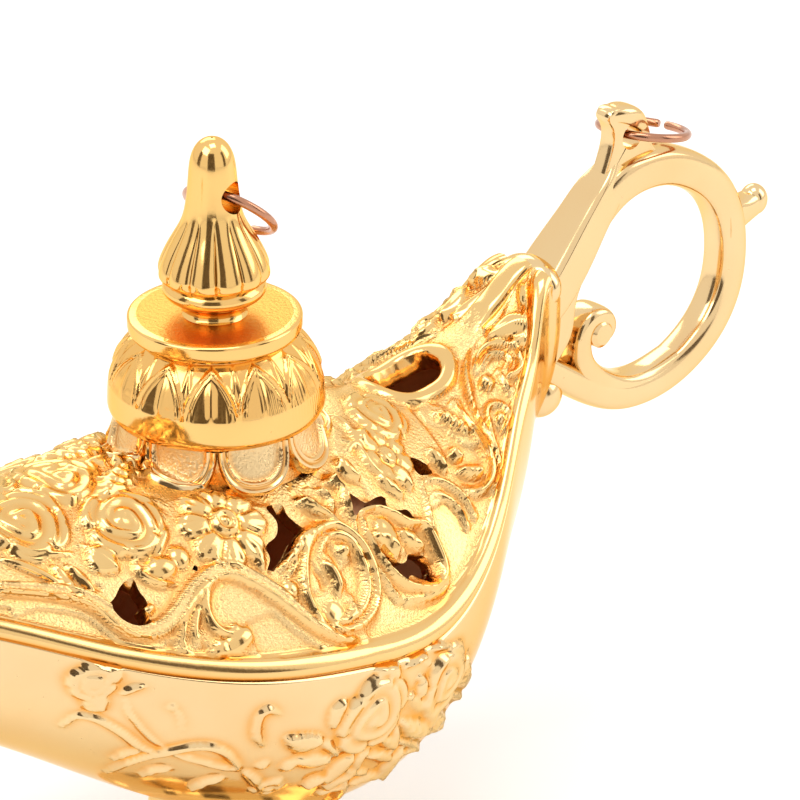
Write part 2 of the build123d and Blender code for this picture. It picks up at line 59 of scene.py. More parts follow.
camera_data.lens = camera_data.sensor_width * focal_pixels / frame_pixels
camera_data.clip_end = 20
camera = bpy.data.objects.new("camera", camera_data)
bpy.context.scene.collection.objects.link(camera)
camera.matrix_world = Matrix.Translation(eye * MM) @ Matrix((right, up, -ahead)).transposed().to_4x4()
bpy.context.scene.camera = camera

# Table and studio light
# A white table top under large soft lamps, and a white room that the polished gold mirrors. Dark
# screens hang where the photographer stands and at both sides: only mirror reflections show them.


class Signal:
    """A shader socket that takes part in sums."""

    def __init__(self, finish, socket):
        self.finish = finish
        self.socket = socket

    def _with(self, operation, first, second):
        return self.finish.node("ShaderNodeMath", {"operation": operation}, {0: first, 1: second})

    def __add__(self, other):
        return self._with("ADD", self, other)

    __radd__ = __add__

    def __sub__(self, other):
        return self._with("SUBTRACT", self, other)

    def __rsub__(self, other):
        return self._with("SUBTRACT", other, self)

    def __mul__(self, other):
        return self._with("MULTIPLY", self, other)

    __rmul__ = __mul__

    def __lt__(self, other):
        return self._with("LESS_THAN", self, other)


class Finish:
    """A node tree, of a material or of the world, that is written down node by node."""

    def __init__(self, owner):
        owner.use_nodes = True
        self.owner = owner
        self.tree = owner.node_tree
        self.tree.nodes.clear()

    def node(self, kind, settings=None, values=None, output=0):
        made = self.tree.nodes.new(kind)
        for key, value in (settings or {}).items():
            if key == "stops":
                ramp = made.color_ramp.elements
                while len(ramp) < len(value):
                    ramp.new(0.5)
                for element, (place, colour) in zip(ramp, value):
                    element.position = place
                    element.color = (*colour, 1)
            else:
                setattr(made, key, value)
        for key, value in (values or {}).items():
            if isinstance(value, Signal):
                self.tree.links.new(value.socket, made.inputs[key])
            elif isinstance(value, tuple) and len(value) == 3 and made.inputs[key].type == "RGBA":
                made.inputs[key].default_value = (*value, 1)
            else:
                made.inputs[key].default_value = value
        return Signal(self, made.outputs[output])

    def mixed(self, share, first, second):
        """Colour that goes from first to second as share goes from 0 to 1."""
        return self.node("ShaderNodeMix", {"data_type": "RGBA"}, {0: share, 6: first, 7: second}, output=2)

    def noise(self, scale, detail, roughness=0.5):
        """A cloudy pattern from 0 to 1 that stays with the piece."""
        place = self.node("ShaderNodeTexCoord", output=3)
        return self.node("ShaderNodeTexNoise", values={
            "Vector": place, "Scale": scale, "Detail": detail, "Roughness": roughness})

    def coat(self, tone, rough, height, depth, strength=1.0, metal=1.0, edge=(1.0, 1.0, 1.0)):
        """The material of a surface with a fine bump, whose depth is in metres."""
        bump = self.node("ShaderNodeBump", values={"Height": height, "Strength": strength, "Distance": depth})
        return self.surface(self.node("ShaderNodeBsdfPrincipled", values={
            "Base Color": tone, "Metallic": metal, "Roughness": rough, "Specular Tint": edge,
            "Normal": bump}))

    def surface(self, shader):
        """Ends the tree with a shader, and gives the material or world that it belongs to."""
        of_world = isinstance(self.owner, bpy.types.World)
        out = self.tree.nodes.new("ShaderNodeOutputWorld" if of_world else "ShaderNodeOutputMaterial")
        self.tree.links.new(shader.socket, out.inputs["Surface"])
        return self.owner


def seen_plainly(finish):
    """1 for what the camera, a mirror or a glass looks at, and 0 for light that falls on things."""
    share = 0.0
    for kind in ("Is Camera Ray", "Is Glossy Ray", "Is Transmission Ray"):
        share = finish.node("ShaderNodeMath", {"operation": "MAXIMUM"},
                            {0: share, 1: finish.node("ShaderNodeLightPath", output=kind)})
    return share


room_white = (1.0, 0.985, 0.97)
room_strength_seen = 1.0
room_strength_lit = 0.55
world = bpy.data.worlds.new("white_room")
bpy.context.scene.world = world
room = Finish(world)
seen = seen_plainly(room)
room.surface(room.node("ShaderNodeBackground", values={
    "Color": room_white, "Strength": seen * (room_strength_seen - room_strength_lit) + room_strength_lit}))


def studio_sheet(name, points, faces, paint):
    """A sheet of the studio, which isn't part of the lamp. Its points are in metres."""
    mesh = bpy.data.meshes.new(name)
    mesh.from_pydata(points, [], faces)
    mesh.materials.append(paint)
    sheet = bpy.data.objects.new(name, mesh)
    bpy.context.scene.collection.objects.link(sheet)
    return sheet


table_size = 6.0
table_white = (0.86, 0.855, 0.85)
table_glow = 0.30
table_finish = Finish(bpy.data.materials.new("white_table"))
table_grain = table_finish.noise(scale=40.0, detail=2.0)
table_paint = table_finish.node("ShaderNodeBsdfPrincipled", values={
    "Base Color": table_white, "Roughness": table_grain * 0.1 + 0.6, "Emission Color": (1.0, 1.0, 1.0),
    "Specular IOR Level": 0.2, "Emission Strength": table_glow})
table_corners = [(-table_size, -table_size, 0), (table_size, -table_size, 0), (table_size, table_size, 0),
                 (-table_size, table_size, 0)]
table = studio_sheet("table_top", table_corners, [(0, 1, 2, 3)], table_finish.surface(table_paint))

lamp_white = (1.0, 0.985, 0.96)
lit_spot = Vector((0, 0, 0.045))
SOFT_BOXES = {
    # name: (place and size in metres, power in watts)
    "key_box": ((-0.60, 0.05, 0.70), (0.60, 0.45), 2.3),
    "right_box": ((0.62, -0.42, 0.42), (0.40, 0.55), 1.3),
    "back_box": ((0.35, 0.75, 0.60), (0.70, 0.40), 1.9),
    "top_box": ((-0.05, -0.12, 1.00), (0.45, 0.40), 2.1),
}
for name, (place, size, power) in SOFT_BOXES.items():
    light = bpy.data.lights.new(name, "AREA")
    light.shape = "RECTANGLE"
    light.size, light.size_y = size
    light.energy = power
    light.color = lamp_white
    holder = bpy.data.objects.new(name, light)
    bpy.context.scene.collection.objects.link(holder)
    holder.location = place
    holder.rotation_euler = (lit_spot - Vector(place)).to_track_quat("-Z", "Y").to_euler()

screen_reach = 0.60
# Each screen's two sides, in degrees round from the camera, and its two heights, in degrees up
SCREENS = [((-24, 13), (2, 46)), ((-82, -64), (4, 40)), ((58, 72), (4, 40))]
screen_steps = 16
screen_dark, screen_pale = (0.018, 0.014, 0.010), (0.20, 0.16, 0.12)
screen_finish = Finish(bpy.data.materials.new("dark_screen"))
screen_paint = screen_finish.node("ShaderNodeBsdfPrincipled", values={
    "Base Color": screen_finish.mixed(screen_finish.noise(scale=3.0, detail=2.0), screen_dark, screen_pale),
    "Roughness": 0.9})
camera_side = math.atan2(eye.y, eye.x)
screen_points, screen_faces = [], []
for sides, heights in SCREENS:
    first = len(screen_points)
    for tilt in np.radians(np.linspace(*heights, screen_steps)):
        out, rise = screen_reach * math.cos(tilt), screen_reach * math.sin(tilt)
        for turn in camera_side + np.radians(np.linspace(*sides, screen_steps)):
            screen_points.append((out * math.cos(turn), out * math.sin(turn), rise))
    for row in range(screen_steps - 1):
        for column in range(screen_steps - 1):
            corner = first + row * screen_steps + column
            screen_faces.append((corner, corner + 1, corner + screen_steps + 1, corner + screen_steps))
screen = studio_sheet("dark_screen", screen_points, screen_faces, screen_finish.surface(screen_paint))
screen.visible_camera = screen.visible_diffuse = screen.visible_shadow = screen.visible_transmission = False

# Bowl
# The lower casting: a leaf-shaped hull with the lower half of the spout, die cast, polished and
# gold plated. Roses and briar sprigs stand up on both flanks, and the foot's screw holds it.
spout_reach, stern_reach = 72.0, 46.0
half_beam, seat_height = 21.9, 52.0
wall = 1.8
# Along the hull: the share of its reach, then the half breadth, the heights of the seam, the keel
# and the cover's crest, and how square the crest is
HULL_SHARES = [
    (-1.000, 0.224, 1.088, 0.996, 1.181, 0.50), (-0.861, 0.196, 1.006, 0.904, 1.100, 0.50),
    (-0.722, 0.283, 0.948, 0.777, 1.050, 0.62), (-0.556, 0.521, 0.871, 0.621, 1.010, 0.90),
    (-0.375, 0.767, 0.754, 0.458, 0.992, 1.00), (-0.181, 0.959, 0.660, 0.281, 0.979, 0.95),
    (0.000, 1.000, 0.606, 0.165, 0.973, 0.84), (0.196, 0.954, 0.581, 0.142, 0.965, 0.90),
    (0.370, 0.858, 0.613, 0.175, 0.925, 1.00), (0.543, 0.685, 0.708, 0.262, 0.900, 1.00),
    (0.696, 0.475, 0.825, 0.383, 0.937, 0.95), (0.826, 0.292, 0.923, 0.529, 0.996, 0.80),
    (0.913, 0.183, 1.019, 0.673, 1.038, 0.60), (0.967, 0.132, 0.973, 0.737, 1.013, 0.50),
    (1.000, 0.068, 0.923, 0.798, 0.962, 0.50)]
crest_power = 1.9
mouth_tilt = math.radians(28.0)
mouth_reach = 0.962 * spout_reach
lean_from, lean_over = -0.83 * spout_reach, 9.0


def smooth_line(places, values):
    """The natural cubic spline through (place, value) pairs, as a function."""
    places, values = np.array(places, float), np.array(values, float)
    gap = np.diff(places)
    rows = len(places)
    matrix = np.eye(rows)
    bend = np.zeros(rows)
    for k in range(1, rows - 1):
        matrix[k, k - 1:k + 2] = gap[k - 1], 2 * (gap[k - 1] + gap[k]), gap[k]
        bend[k] = 6 * ((values[k + 1] - values[k]) / gap[k] - (values[k] - values[k - 1]) / gap[k - 1])
    second = np.linalg.solve(matrix, bend)

    def line(x):
        x = np.asarray(x, float)
        k = np.clip(np.searchsorted(places, x) - 1, 0, rows - 2)
        a = (places[k + 1] - x) / gap[k]
        b = 1 - a
        return (a * values[k] + b * values[k + 1]
                + ((a ** 3 - a) * second[k] + (b ** 3 - b) * second[k + 1]) * gap[k] ** 2 / 6)

    return line


hull_places = [share * (spout_reach if share < 0 else stern_reach) for share, *rest in HULL_SHARES]
half_breadth = smooth_line(hull_places, [row[1] * half_beam for row in HULL_SHARES])
seam_height = smooth_line(hull_places, [row[2] * seat_height for row in HULL_SHARES])
keel_height = smooth_line(hull_places, [row[3] * seat_height for row in HULL_SHARES])
crest_height = smooth_line(hull_places, [row[4] * seat_height for row in HULL_SHARES])


def crest_square(x):
    return np.interp(x, hull_places, [row[5] for row in HULL_SHARES])


def held(value):
    """The value, held between 0 and 1."""
    return np.clip(value, 0, 1)


def hump(off, half):
    """1 where off is 0, about a third where it is half, and next to nothing further out."""
    return np.exp(-(off / half) ** 2)


def dome(off, square=2):
    """A round top: 1 where off is 0, and 0 from where it is 1. A larger square flattens it."""
    return np.sqrt(held(1 - np.abs(off) ** square))


def run_along(line):
    """How far along a line each of its points lies."""
    return np.concatenate(([0], np.cumsum(np.linalg.norm(np.diff(line, axis=0), axis=1))))


def even_sections(x, curve, shares):
    """Points of each cross-section of the camera's side, where y is negative, at the given shares of
    its length from the crest or keel. The last ones lean with the spout's mouth."""
    fine = np.sin(np.linspace(0, np.pi / 2, 500))
    grid = np.zeros((len(x), len(shares), 3))
    for row, place in enumerate(x):
        y, z = curve(place, fine)
        length = run_along(np.stack((y, z), 1))
        grid[row, :, 0] = place
        grid[row, :, 1] = -np.interp(shares * length[-1], length, y)
        grid[row, :, 2] = np.interp(shares * length[-1], length, z)
    lean = held((lean_from - grid[..., 0]) / lean_over) ** 2
    grid[..., 0] += lean * math.tan(mouth_tilt) * (grid[..., 2] - seam_height(grid[..., 0]))
    return grid


def bowl_section(place, share):
    return half_breadth(place) * share, (
        seam_height(place) - (seam_height(place) - keel_height(place)) * np.sqrt(1 - share ** 2))


def cover_section(place, share):
    rise = (1 - share ** crest_power) ** crest_square(place)
    return half_breadth(place) * share, seam_height(place) + (crest_height(place) - seam_height(place)) * rise


def sheet_normals(grid, outward):
    """Unit normals of a grid of points, on the side that the vectors of outward point to."""
    normals = np.cross(np.gradient(grid, axis=0), np.gradient(grid, axis=1))
    normals /= np.maximum(np.linalg.norm(normals, axis=2, keepdims=True), 1e-9)
    return normals * np.sign((normals * outward).sum(2).mean())


def softened(field, rounds):
    """The field blurred over its grid."""
    for _ in range(rounds):
        padded = np.pad(field, 1, mode="edge")
        field = (padded[:-2, 1:-1] + padded[2:, 1:-1] + padded[1:-1, :-2] + padded[1:-1, 2:]
                 + 2 * field) / 6
    return field


def sight(pixel):
    """The direction from the camera through a pixel of the photograph."""
    across = float(pixel[0] - frame_pixels / 2) / focal_pixels
    down = float(pixel[1] - frame_pixels / 2) / focal_pixels
    return (ahead + right * across - up * down).normalized()


def inside_outline(spots, corners):
    """Which of the flat spots lie inside a closed outline of corners."""
    inside = np.zeros(len(spots), bool)
    for start, run in zip(corners, np.roll(corners, -1, 0) - corners):
        crosses = (start[1] > spots[:, 1]) != (start[1] + run[1] > spots[:, 1])
        inside ^= crosses & (spots[:, 0] < start[0] + (spots[:, 1] - start[1]) * run[0] / (run[1] or 1.0))
    return inside


def sheet_faces(kept):
    """The four-sided faces of a grid whose corners are all kept, and three-sided ones at the edges."""
    rows, columns = kept.shape
    number = np.arange(rows * columns).reshape(rows, columns)
    corners = np.stack((number[:-1, :-1], number[1:, :-1], number[1:, 1:], number[:-1, 1:]), 2).reshape(-1, 4)
    there = kept.reshape(-1)[corners]
    faces = corners[there.all(1)].tolist()
    for corner, present in zip(corners[there.sum(1) == 3], there[there.sum(1) == 3]):
        faces.append(corner[present].tolist())
    return faces


def tapered(share, ends):
    """The width of a stroke along it: full, but for a quarter of its length towards each end."""
    from_start, from_end = (end + (1 - end) * run * 4 for end, run in zip(ends, (share, 1 - share)))
    return np.minimum(1, np.minimum(from_start, from_end))


class Relief:
    """Raised ornament on one flank, drawn through the photograph's pixels onto the plain surface.

    Sizes are in millimetres: height is over the plain surface, and solid is how far a point lies
    outside the nearest opening. satin is 1 on matt grounds."""

    uncut = 50.0
    thinnest = 0.04

    def __init__(self, grid, spacing=6):
        keel_line = np.stack((grid[..., 0], np.zeros(grid.shape[:2]),
                              seam_height(np.clip(grid[..., 0], -spout_reach, stern_reach))), 2)
        self.grid = grid
        self.grid_normals = sheet_normals(grid, grid - keel_line)
        self.shape = grid.shape[:2]
        self.points = grid.reshape(-1, 3)
        self.normals = self.grid_normals.reshape(-1, 3)
        self.height = np.zeros(len(self.points))
        self.satin = np.zeros(len(self.points))
        self.solid = np.full(len(self.points), self.uncut)
        coarse = grid[::spacing, ::spacing]
        self.tree = BVHTree.FromPolygons(coarse.reshape(-1, 3).tolist(),
                                         sheet_faces(np.ones(coarse.shape[:2], bool)))

    def spot(self, pixel):
        """Where the line of sight through a pixel meets the surface, and the normal there."""
        place, normal, _, _ = self.tree.ray_cast(eye, sight(pixel))
        if place is None:
            far = (Vector(self.points.mean(0)) - eye).length
            place, normal, _, _ = self.tree.find_nearest(eye + sight(pixel) * far)
        return np.array(place), np.array(normal)

    def trail(self, pixels, closed=False, step=2.5):
        """A smooth line over the surface through pixels."""
        knots = np.array(pixels, float)
        if closed:
            knots = np.concatenate((knots[-1:], knots, knots[:2]))
        else:
            knots = np.concatenate((2 * knots[:1] - knots[1:2], knots, 2 * knots[-1:] - knots[-2:-1]))
        drawn = []
        for k in range(1, len(knots) - 2):
            a, b, c, d = knots[k - 1:k + 3]
            count = max(2, int(np.hypot(*(c - b)) / step))
            for t in np.arange(count) / count:
                drawn.append(0.5 * (2 * b + (c - a) * t + (2 * a - 5 * b + 4 * c - d) * t ** 2
                                    + (3 * b - a - 3 * c + d) * t ** 3))
        if not closed:
            drawn.append(knots[-2])
        return np.array([self.spot(pixel)[0] for pixel in drawn])

    def near(self, places, reach):
        low, high = places.min(0) - reach, places.max(0) + reach
        return np.nonzero(((self.points > low) & (self.points < high)).all(1))[0]

    def along(self, line, reach):
        """For the points near a line: which they are, how far off, on which side, and the share of
        the line's length."""
        chosen = self.near(line, reach)
        points = self.points[chosen]
        start, run = line[:-1], np.diff(line, axis=0)
        squares = np.maximum((run ** 2).sum(1), 1e-9)
        lengths = np.concatenate(([0], np.cumsum(np.sqrt(squares))))
        best = np.full(len(points), 1e9)
        share = np.zeros(len(points))
        side = np.zeros(len(points))
        for k in range(len(start)):
            offset = points - start[k]
            t = np.clip(offset @ run[k] / squares[k], 0, 1)
            rest = offset - t[:, None] * run[k]
            square = (rest ** 2).sum(1)
            closer = square < best
            best[closer] = square[closer]
            share[closer] = (lengths[k] + t[closer] * math.sqrt(squares[k])) / lengths[-1]
            cross = np.cross(run[k], rest[closer])
            side[closer] = np.sign((cross * self.normals[chosen[closer]]).sum(1))
        distance = np.sqrt(best)
        kept = distance < reach
        return chosen[kept], distance[kept], side[kept], share[kept], lengths[-1]

    def lift(self, chosen, value):
        """Raises the surface to value where it is lower, and polishes it there."""
        higher = value > self.height[chosen]
        self.height[chosen[higher]] = value[higher]
        self.satin[chosen[value > self.thinnest]] = 0.0

    def ground(self, outline, satin):
        """A flat field within an outline of pixels, as matt as satin says."""
        chosen, inside = self.within(self.trail(outline, closed=True))
        self.satin[chosen[inside > 0]] = satin

    def rib(self, pixels, width, rise, ends=(0.3, 0.3), groove=0.0, twist=0.0):
        """A raised rib. ends are its width shares at the two ends, groove sinks its middle, and twist
        is the pitch of a rope's strands."""
        chosen, distance, side, share, length = self.along(self.trail(pixels), width)
        taper = tapered(share, ends)
        across = distance / np.maximum(width / 2 * taper, 0.05)
        profile = dome(across)
        value = rise * (0.45 + 0.55 * taper) * profile - groove * hump(across, 0.42) * (profile > 0)
        if twist:
            value *= 1 + 0.28 * np.sin(2 * np.pi * (share * length / twist + 0.35 * side * across))
        self.lift(chosen, value)

    def band(self, pixels, width, rise, ends=(0.4, 0.4), edge=0.30, sunk=0.28):
        """A flat strap with a raised edge on both sides and a matt, sunken middle."""
        chosen, distance, _, share, _ = self.along(self.trail(pixels), width)
        inward = width / 2 * tapered(share, ends) - distance
        middle = held((inward - edge) / 0.2)
        self.lift(chosen, rise * held(inward / 0.22) ** 0.5 - sunk * middle)
        self.satin[chosen[middle > 0.5]] = 1.0

    def polar(self, pixel, radius, turn=0.0, stretch=1.0):
        """For the points round a pixel: which they are, how far off and at which angle, turned from
        the lamp's length. stretch flattens the circle."""
        place, normal = self.spot(pixel)
        along = np.array((1.0, 0, 0)) - normal[0] * normal
        along /= np.linalg.norm(along)
        across = np.cross(normal, along)
        cosine, sine = math.cos(math.radians(turn)), math.sin(math.radians(turn))
        chosen = self.near(place[None], radius * 1.4)
        offset = self.points[chosen] - place
        u, v = offset @ (along * cosine + across * sine), offset @ (across * cosine - along * sine) * stretch
        return chosen, np.hypot(u, v), np.arctan2(v, u)

    def daisy(self, pixel, radius, petals, rise, turn=0.0, grooves=3):
        """An open flower: spoon-shaped petals with grooves round a ringed button."""
        chosen, far, angle = self.polar(pixel, radius, turn)
        pitch = 2 * np.pi / petals
        off = (angle + pitch / 2) % pitch - pitch / 2
        spoon = held(far / radius)
        half = pitch / 2 * (1.02 - 0.55 * held((spoon - 0.72) / 0.28) ** 2)
        across = held(np.abs(off) / half)
        edge = radius * (1 - 0.16 * across ** 2)
        body = held((edge - far) / 0.30) ** 0.5 * dome(across, 4)
        hollowed = 0.50 + 0.30 * np.sin(np.pi * np.clip(spoon, 0, 0.9)) - 0.12 * (1 - across ** 2)
        value = rise * hollowed * body
        value += 0.08 * np.cos(np.pi * grooves * across) * body * (spoon > 0.40)
        button = 0.27 * radius
        ring, dot = hump(far - 0.80 * button, 0.16 * button), dome(far / (0.38 * button))
        value = np.where(far < 1.12 * button, rise * (0.62 + 0.40 * ring + 0.42 * dot), value)
        value -= 0.30 * hump(far - 1.22 * button, 0.14)
        self.lift(chosen, value * (far < edge))

    def rose(self, pixel, radius, rise, turn=0.0, stretch=1.0, wraps=2.6):
        """A rose: broad petals that wrap round a bud in a spiral, over five open ones."""
        chosen, far, angle = self.polar(pixel, radius, turn, stretch)
        petal_edge = np.abs(np.cos(2.5 * angle))
        inward = radius * (0.84 + 0.16 * petal_edge ** 0.5) - far
        wrap = (wraps * far / radius - angle / (2 * np.pi) + 0.10 * np.cos(3 * angle)) % 1.0
        petal = np.where(wrap < 0.80, (wrap / 0.80) ** 1.4, 1 - held((wrap - 0.80) / 0.20))
        bud = held(1 - far / (0.34 * radius))
        value = rise * (0.34 + 0.34 * held(1 - far / radius) + 0.34 * petal * (1 - bud)
                        + 0.06 * hump(wrap - 0.74, 0.08) + 0.16 * bud ** 0.5)
        value -= 0.30 * rise * hump(petal_edge * far, 0.40) * (far > 0.66 * radius)
        self.lift(chosen, value * held(inward / 0.28) ** 0.5)

    def leaf(self, pixels, width, rise, veins=7, vein=0.14, point=0.8, ridge=0.12, lobes=0.0):
        """A pointed leaf along a line of pixels from stalk to tip, with a midrib and side veins."""
        chosen, distance, _, share, _ = self.along(self.trail(pixels), width * 0.6)
        half = width / 2 * np.sin(np.pi * np.clip(share, 0.001, 0.999) ** point) ** 0.8
        half = half * (1 + lobes * np.cos(2 * np.pi * veins * share))
        across = held(distance / np.maximum(half, 0.02))
        value = rise * (1 - 0.35 * across ** 2 + vein * np.cos(2 * np.pi * (veins * share - 0.9 * across)))
        value = (value + ridge * hump(distance, 0.14)) * held((half - distance) / 0.2) ** 0.5
        inside = (distance < half) & (share > 0) & (share < 1)
        self.lift(chosen[inside], value[inside])

    def bead(self, pixel, radius, rise, stretch=1.0, turn=0.0):
        """A round or oval boss."""
        chosen, far, _ = self.polar(pixel, radius, turn, stretch)
        self.lift(chosen, rise * dome(far / radius))

    def foliage(self, outline, count, length, width, rise, seed, bare=0.12, clear=0.8):
        """Small veined leaves and buds strewn over the bare ground inside an outline of pixels."""
        draw = random.Random(seed)
        corners = np.array(outline, float)
        low, high = corners.min(0), corners.max(0)
        floor = float(np.median(self.height[self.height < bare])) if (self.height < bare).any() else 0.0
        made = tries = 0
        while made < count and tries < 40 * count:
            tries += 1
            spot = (draw.uniform(low[0], high[0]), draw.uniform(low[1], high[1]))
            if not inside_outline(np.array([spot]), corners)[0]:
                continue
            around = self.near(self.spot(spot)[0][None], clear)
            if len(around) == 0 or self.height[around].max() > floor + bare:
                continue
            turn = draw.uniform(0, 2 * math.pi)
            reach = length * draw.uniform(0.7, 1.2) / 2
            way = (reach * math.cos(turn), 0.7 * reach * math.sin(turn))
            bend = draw.uniform(-0.35, 0.35)
            line = [(spot[0] - way[0], spot[1] - way[1]), (spot[0] - bend * way[1], spot[1] + bend * way[0]),
                    (spot[0] + way[0], spot[1] + way[1])]
            if made % 3 == 2:
                self.rib(line, width * 0.45, rise, ends=(0.3, 0.8), groove=0.1)
            else:
                self.leaf(line, width * draw.uniform(0.8, 1.2), rise * draw.uniform(0.75, 1.1),
                          veins=draw.choice((3, 4, 5)), vein=0.10, lobes=0.06)
            made += 1

    def within(self, line, reach=1.2):
        """The points near a closed line, and how far inside it each lies (negative outside)."""
        middle = line.mean(0)
        normal = np.array(self.tree.find_nearest(Vector(middle))[1])
        first = np.cross(normal, (0, 0, 1.0))
        first /= np.linalg.norm(first)
        flat_axes = np.stack((first, np.cross(normal, first)), 1)
        corners = (line - middle) @ flat_axes
        chosen = self.near(line, reach)
        spots = (self.points[chosen] - middle) @ flat_axes
        nearest = np.full(len(spots), np.inf)
        for start, run in zip(corners, np.roll(corners, -1, 0) - corners):
            t = held((spots - start) @ run / max(run @ run, 1e-12))
            nearest = np.minimum(nearest, np.hypot(*(spots - start - t[:, None] * run).T))
        return chosen, np.where(inside_outline(spots, corners), nearest, -nearest)

    def pierce(self, pixels):
        """Cuts an opening right through."""
        chosen, inside = self.within(self.trail(pixels, closed=True))
        self.solid[chosen] = np.minimum(self.solid[chosen], -inside)

    def draw(self, strokes):
        """Carves a list of strokes. Each has its kind, its pixels, its sizes in the order that the kind
        takes them, and a dictionary of the settings that differ from the usual ones, if any do."""
        for kind, pixels, *sizes in strokes:
            settings = sizes.pop() if isinstance(sizes[-1], dict) else {}
            getattr(self, kind)(pixels, *sizes, **settings)

    def grids(self):
        return self.height.reshape(self.shape), self.satin.reshape(self.shape), self.solid.reshape(self.shape)


def fitted_edges(points, solid):
    """Moves grid points onto the edge where solid is 0. Gives the points and which of them are kept."""
    moved = points.copy()
    nearest = np.full(solid.shape, np.inf)
    on_edge = np.zeros(solid.shape, bool)
    for first, second in (((slice(None, -1), slice(None)), (slice(1, None), slice(None))),
                          ((slice(None), slice(None, -1)), (slice(None), slice(1, None)))):
        a, b = solid[first], solid[second]
        crossing = (a > 0) != (b > 0)
        share = np.where(crossing, a / np.where(crossing, a - b, 1), 0)
        meet = points[first] + share[..., None] * (points[second] - points[first])
        for corner, takes in ((first, crossing & (share <= 0.5)), (second, crossing & (share > 0.5))):
            far = np.linalg.norm(meet - points[corner], axis=2)
            takes = takes & (far < nearest[corner])
            nearest[corner] = np.where(takes, far, nearest[corner])
            moved[corner] = np.where(takes[..., None], meet, moved[corner])
            on_edge[corner] |= takes
    return moved, (solid > 0) | on_edge


def edge_loops(faces):
    """The closed loops of edges that only one face uses."""
    onward = {}
    used = set()
    for face in faces:
        for a, b in zip(face, face[1:] + face[:1]):
            used.add((a, b))
    for a, b in used:
        if (b, a) not in used:
            onward.setdefault(a, []).append(b)
    loops = []
    while onward:
        start = next(iter(onward))
        loop = [start]
        while True:
            ahead_of = onward.get(loop[-1])
            if not ahead_of:
                break
            following = ahead_of.pop()
            if not ahead_of:
                del onward[loop[-1]]
            if following == start:
                break
            loop.append(following)
        if len(loop) > 5:
            loops.append(loop)
    return loops


def joined_rims(outer, inner, points):
    """Faces of the wall between a loop of the outer sheet and one of the inner sheet."""
    near = np.linalg.norm(points[inner] - points[outer[0]], axis=1).argmin()
    inner = inner[near:] + inner[:near]
    outer, inner = outer + outer[:1], inner + inner[:1]
    runs = [run_along(points[loop]) for loop in (outer, inner)]
    shares = [run / run[-1] for run in runs]
    faces = []
    i = j = 0
    while i < len(outer) - 1 or j < len(inner) - 1:
        if j == len(inner) - 1 or (i < len(outer) - 1 and shares[0][i + 1] <= shares[1][j + 1]):
            faces.append([outer[i + 1], outer[i], inner[j]])
            i += 1
        else:
            faces.append([outer[i], inner[j], inner[j + 1]])
            j += 1
    return faces


def new_piece(name, points, faces, finishes, slots=None, satin=None, hollow=None, sharp=60, body="lamp"):
    """A mesh in millimetres that rides on a body. satin and the painted shade of hollows go to the finish as
    attributes.
    """
    mesh = bpy.data.meshes.new(name)
    mesh.from_pydata((np.asarray(points) * MM).tolist(), [], [list(map(int, face)) for face in faces])
    for finish in finishes:
        mesh.materials.append(finish)
    if slots is not None:
        mesh.polygons.foreach_set("material_index", np.array(slots, dtype=np.int32))
    for title, values in (("satin", satin), ("hollow", hollow)):
        layer = mesh.attributes.new(title, "FLOAT", "POINT")
        layer.data.foreach_set("value", np.asarray(values if values is not None else np.zeros(len(points)),
                                                   dtype=np.float32))
    tidy = bmesh.new()
    tidy.from_mesh(mesh)
    bmesh.ops.delete(tidy, geom=[v for v in tidy.verts if not v.link_faces], context="VERTS")
    bmesh.ops.recalc_face_normals(tidy, faces=tidy.faces)
    tidy.to_mesh(mesh)
    tidy.free()
    mesh.shade_smooth()
    mesh.set_sharp_from_angle(angle=math.radians(sharp))
    piece = bpy.data.objects.new(name, mesh)
    bpy.context.scene.collection.objects.link(piece)
    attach(piece, body)
    return piece


def both_flanks(field):
    """A field of one flank, with its mirror image before it."""
    return np.concatenate((field[:, :0:-1], field), axis=1)


def sheet_piece(flank, solid):
    """Points and faces of a sheet over both flanks, cut where solid is not over 0."""
    flank[:, 0, 1] = 0
    sheet = both_flanks(flank)
    sheet[:, :flank.shape[1] - 1, 1] *= -1
    moved, kept = fitted_edges(sheet, both_flanks(solid))
    return moved.reshape(-1, 3), sheet_faces(kept)


def hull_shell(name, relief, finishes, hollow_depth=0.25, loop_match=4):
    """A cast half hull: the ornamented outside, a plain inside, and walls round every opening.
    The flank is mirrored, so both sides carry the same ornament."""
    height, satin, solid = relief.grids()
    height = softened(height, 1)
    # Where the relief lies under its blurred level, the finish darkens it as painted shade
    hollow = held((softened(height, 14) - height) / hollow_depth)
    outer_points, outer_faces = sheet_piece(relief.grid + relief.grid_normals * height[..., None], solid)
    inner_points, inner_faces = sheet_piece((relief.grid - relief.grid_normals * wall)[relief.inner],
                                            solid[relief.inner])
    points = np.concatenate((outer_points, inner_points))
    inner_faces = [[corner + len(outer_points) for corner in face] for face in inner_faces]
    inner_loops = edge_loops(inner_faces)
    walls = []
    for loop in edge_loops(outer_faces):
        middle, size = points[loop].mean(0), np.ptp(points[loop], axis=0).max()
        gaps = [np.linalg.norm(points[other].mean(0) - middle)
                + abs(np.ptp(points[other], axis=0).max() - size) for other in inner_loops]
        if min(gaps, default=loop_match) < loop_match:
            walls += joined_rims(loop, inner_loops[int(np.argmin(gaps))], points)
    inner_faces = [face[::-1] for face in inner_faces]
    slots = [0] * len(outer_faces) + [1] * len(inner_faces) + [0] * len(walls)
    unmarked = np.zeros(len(inner_points))
    return new_piece(name, points, outer_faces + inner_faces + walls, finishes, slots,
                     np.concatenate((both_flanks(satin).reshape(-1), unmarked)),
                     np.concatenate((both_flanks(hollow).reshape(-1), unmarked)), sharp=70)


pale_gold = (0.850, 0.660, 0.370)
rich_gold = (0.925, 0.610, 0.225)
deep_gold_and_shade = (0.820, 0.380, 0.080)
matt_gold = (0.950, 0.700, 0.360)
gold_edge = (1.0, 0.82, 0.52)


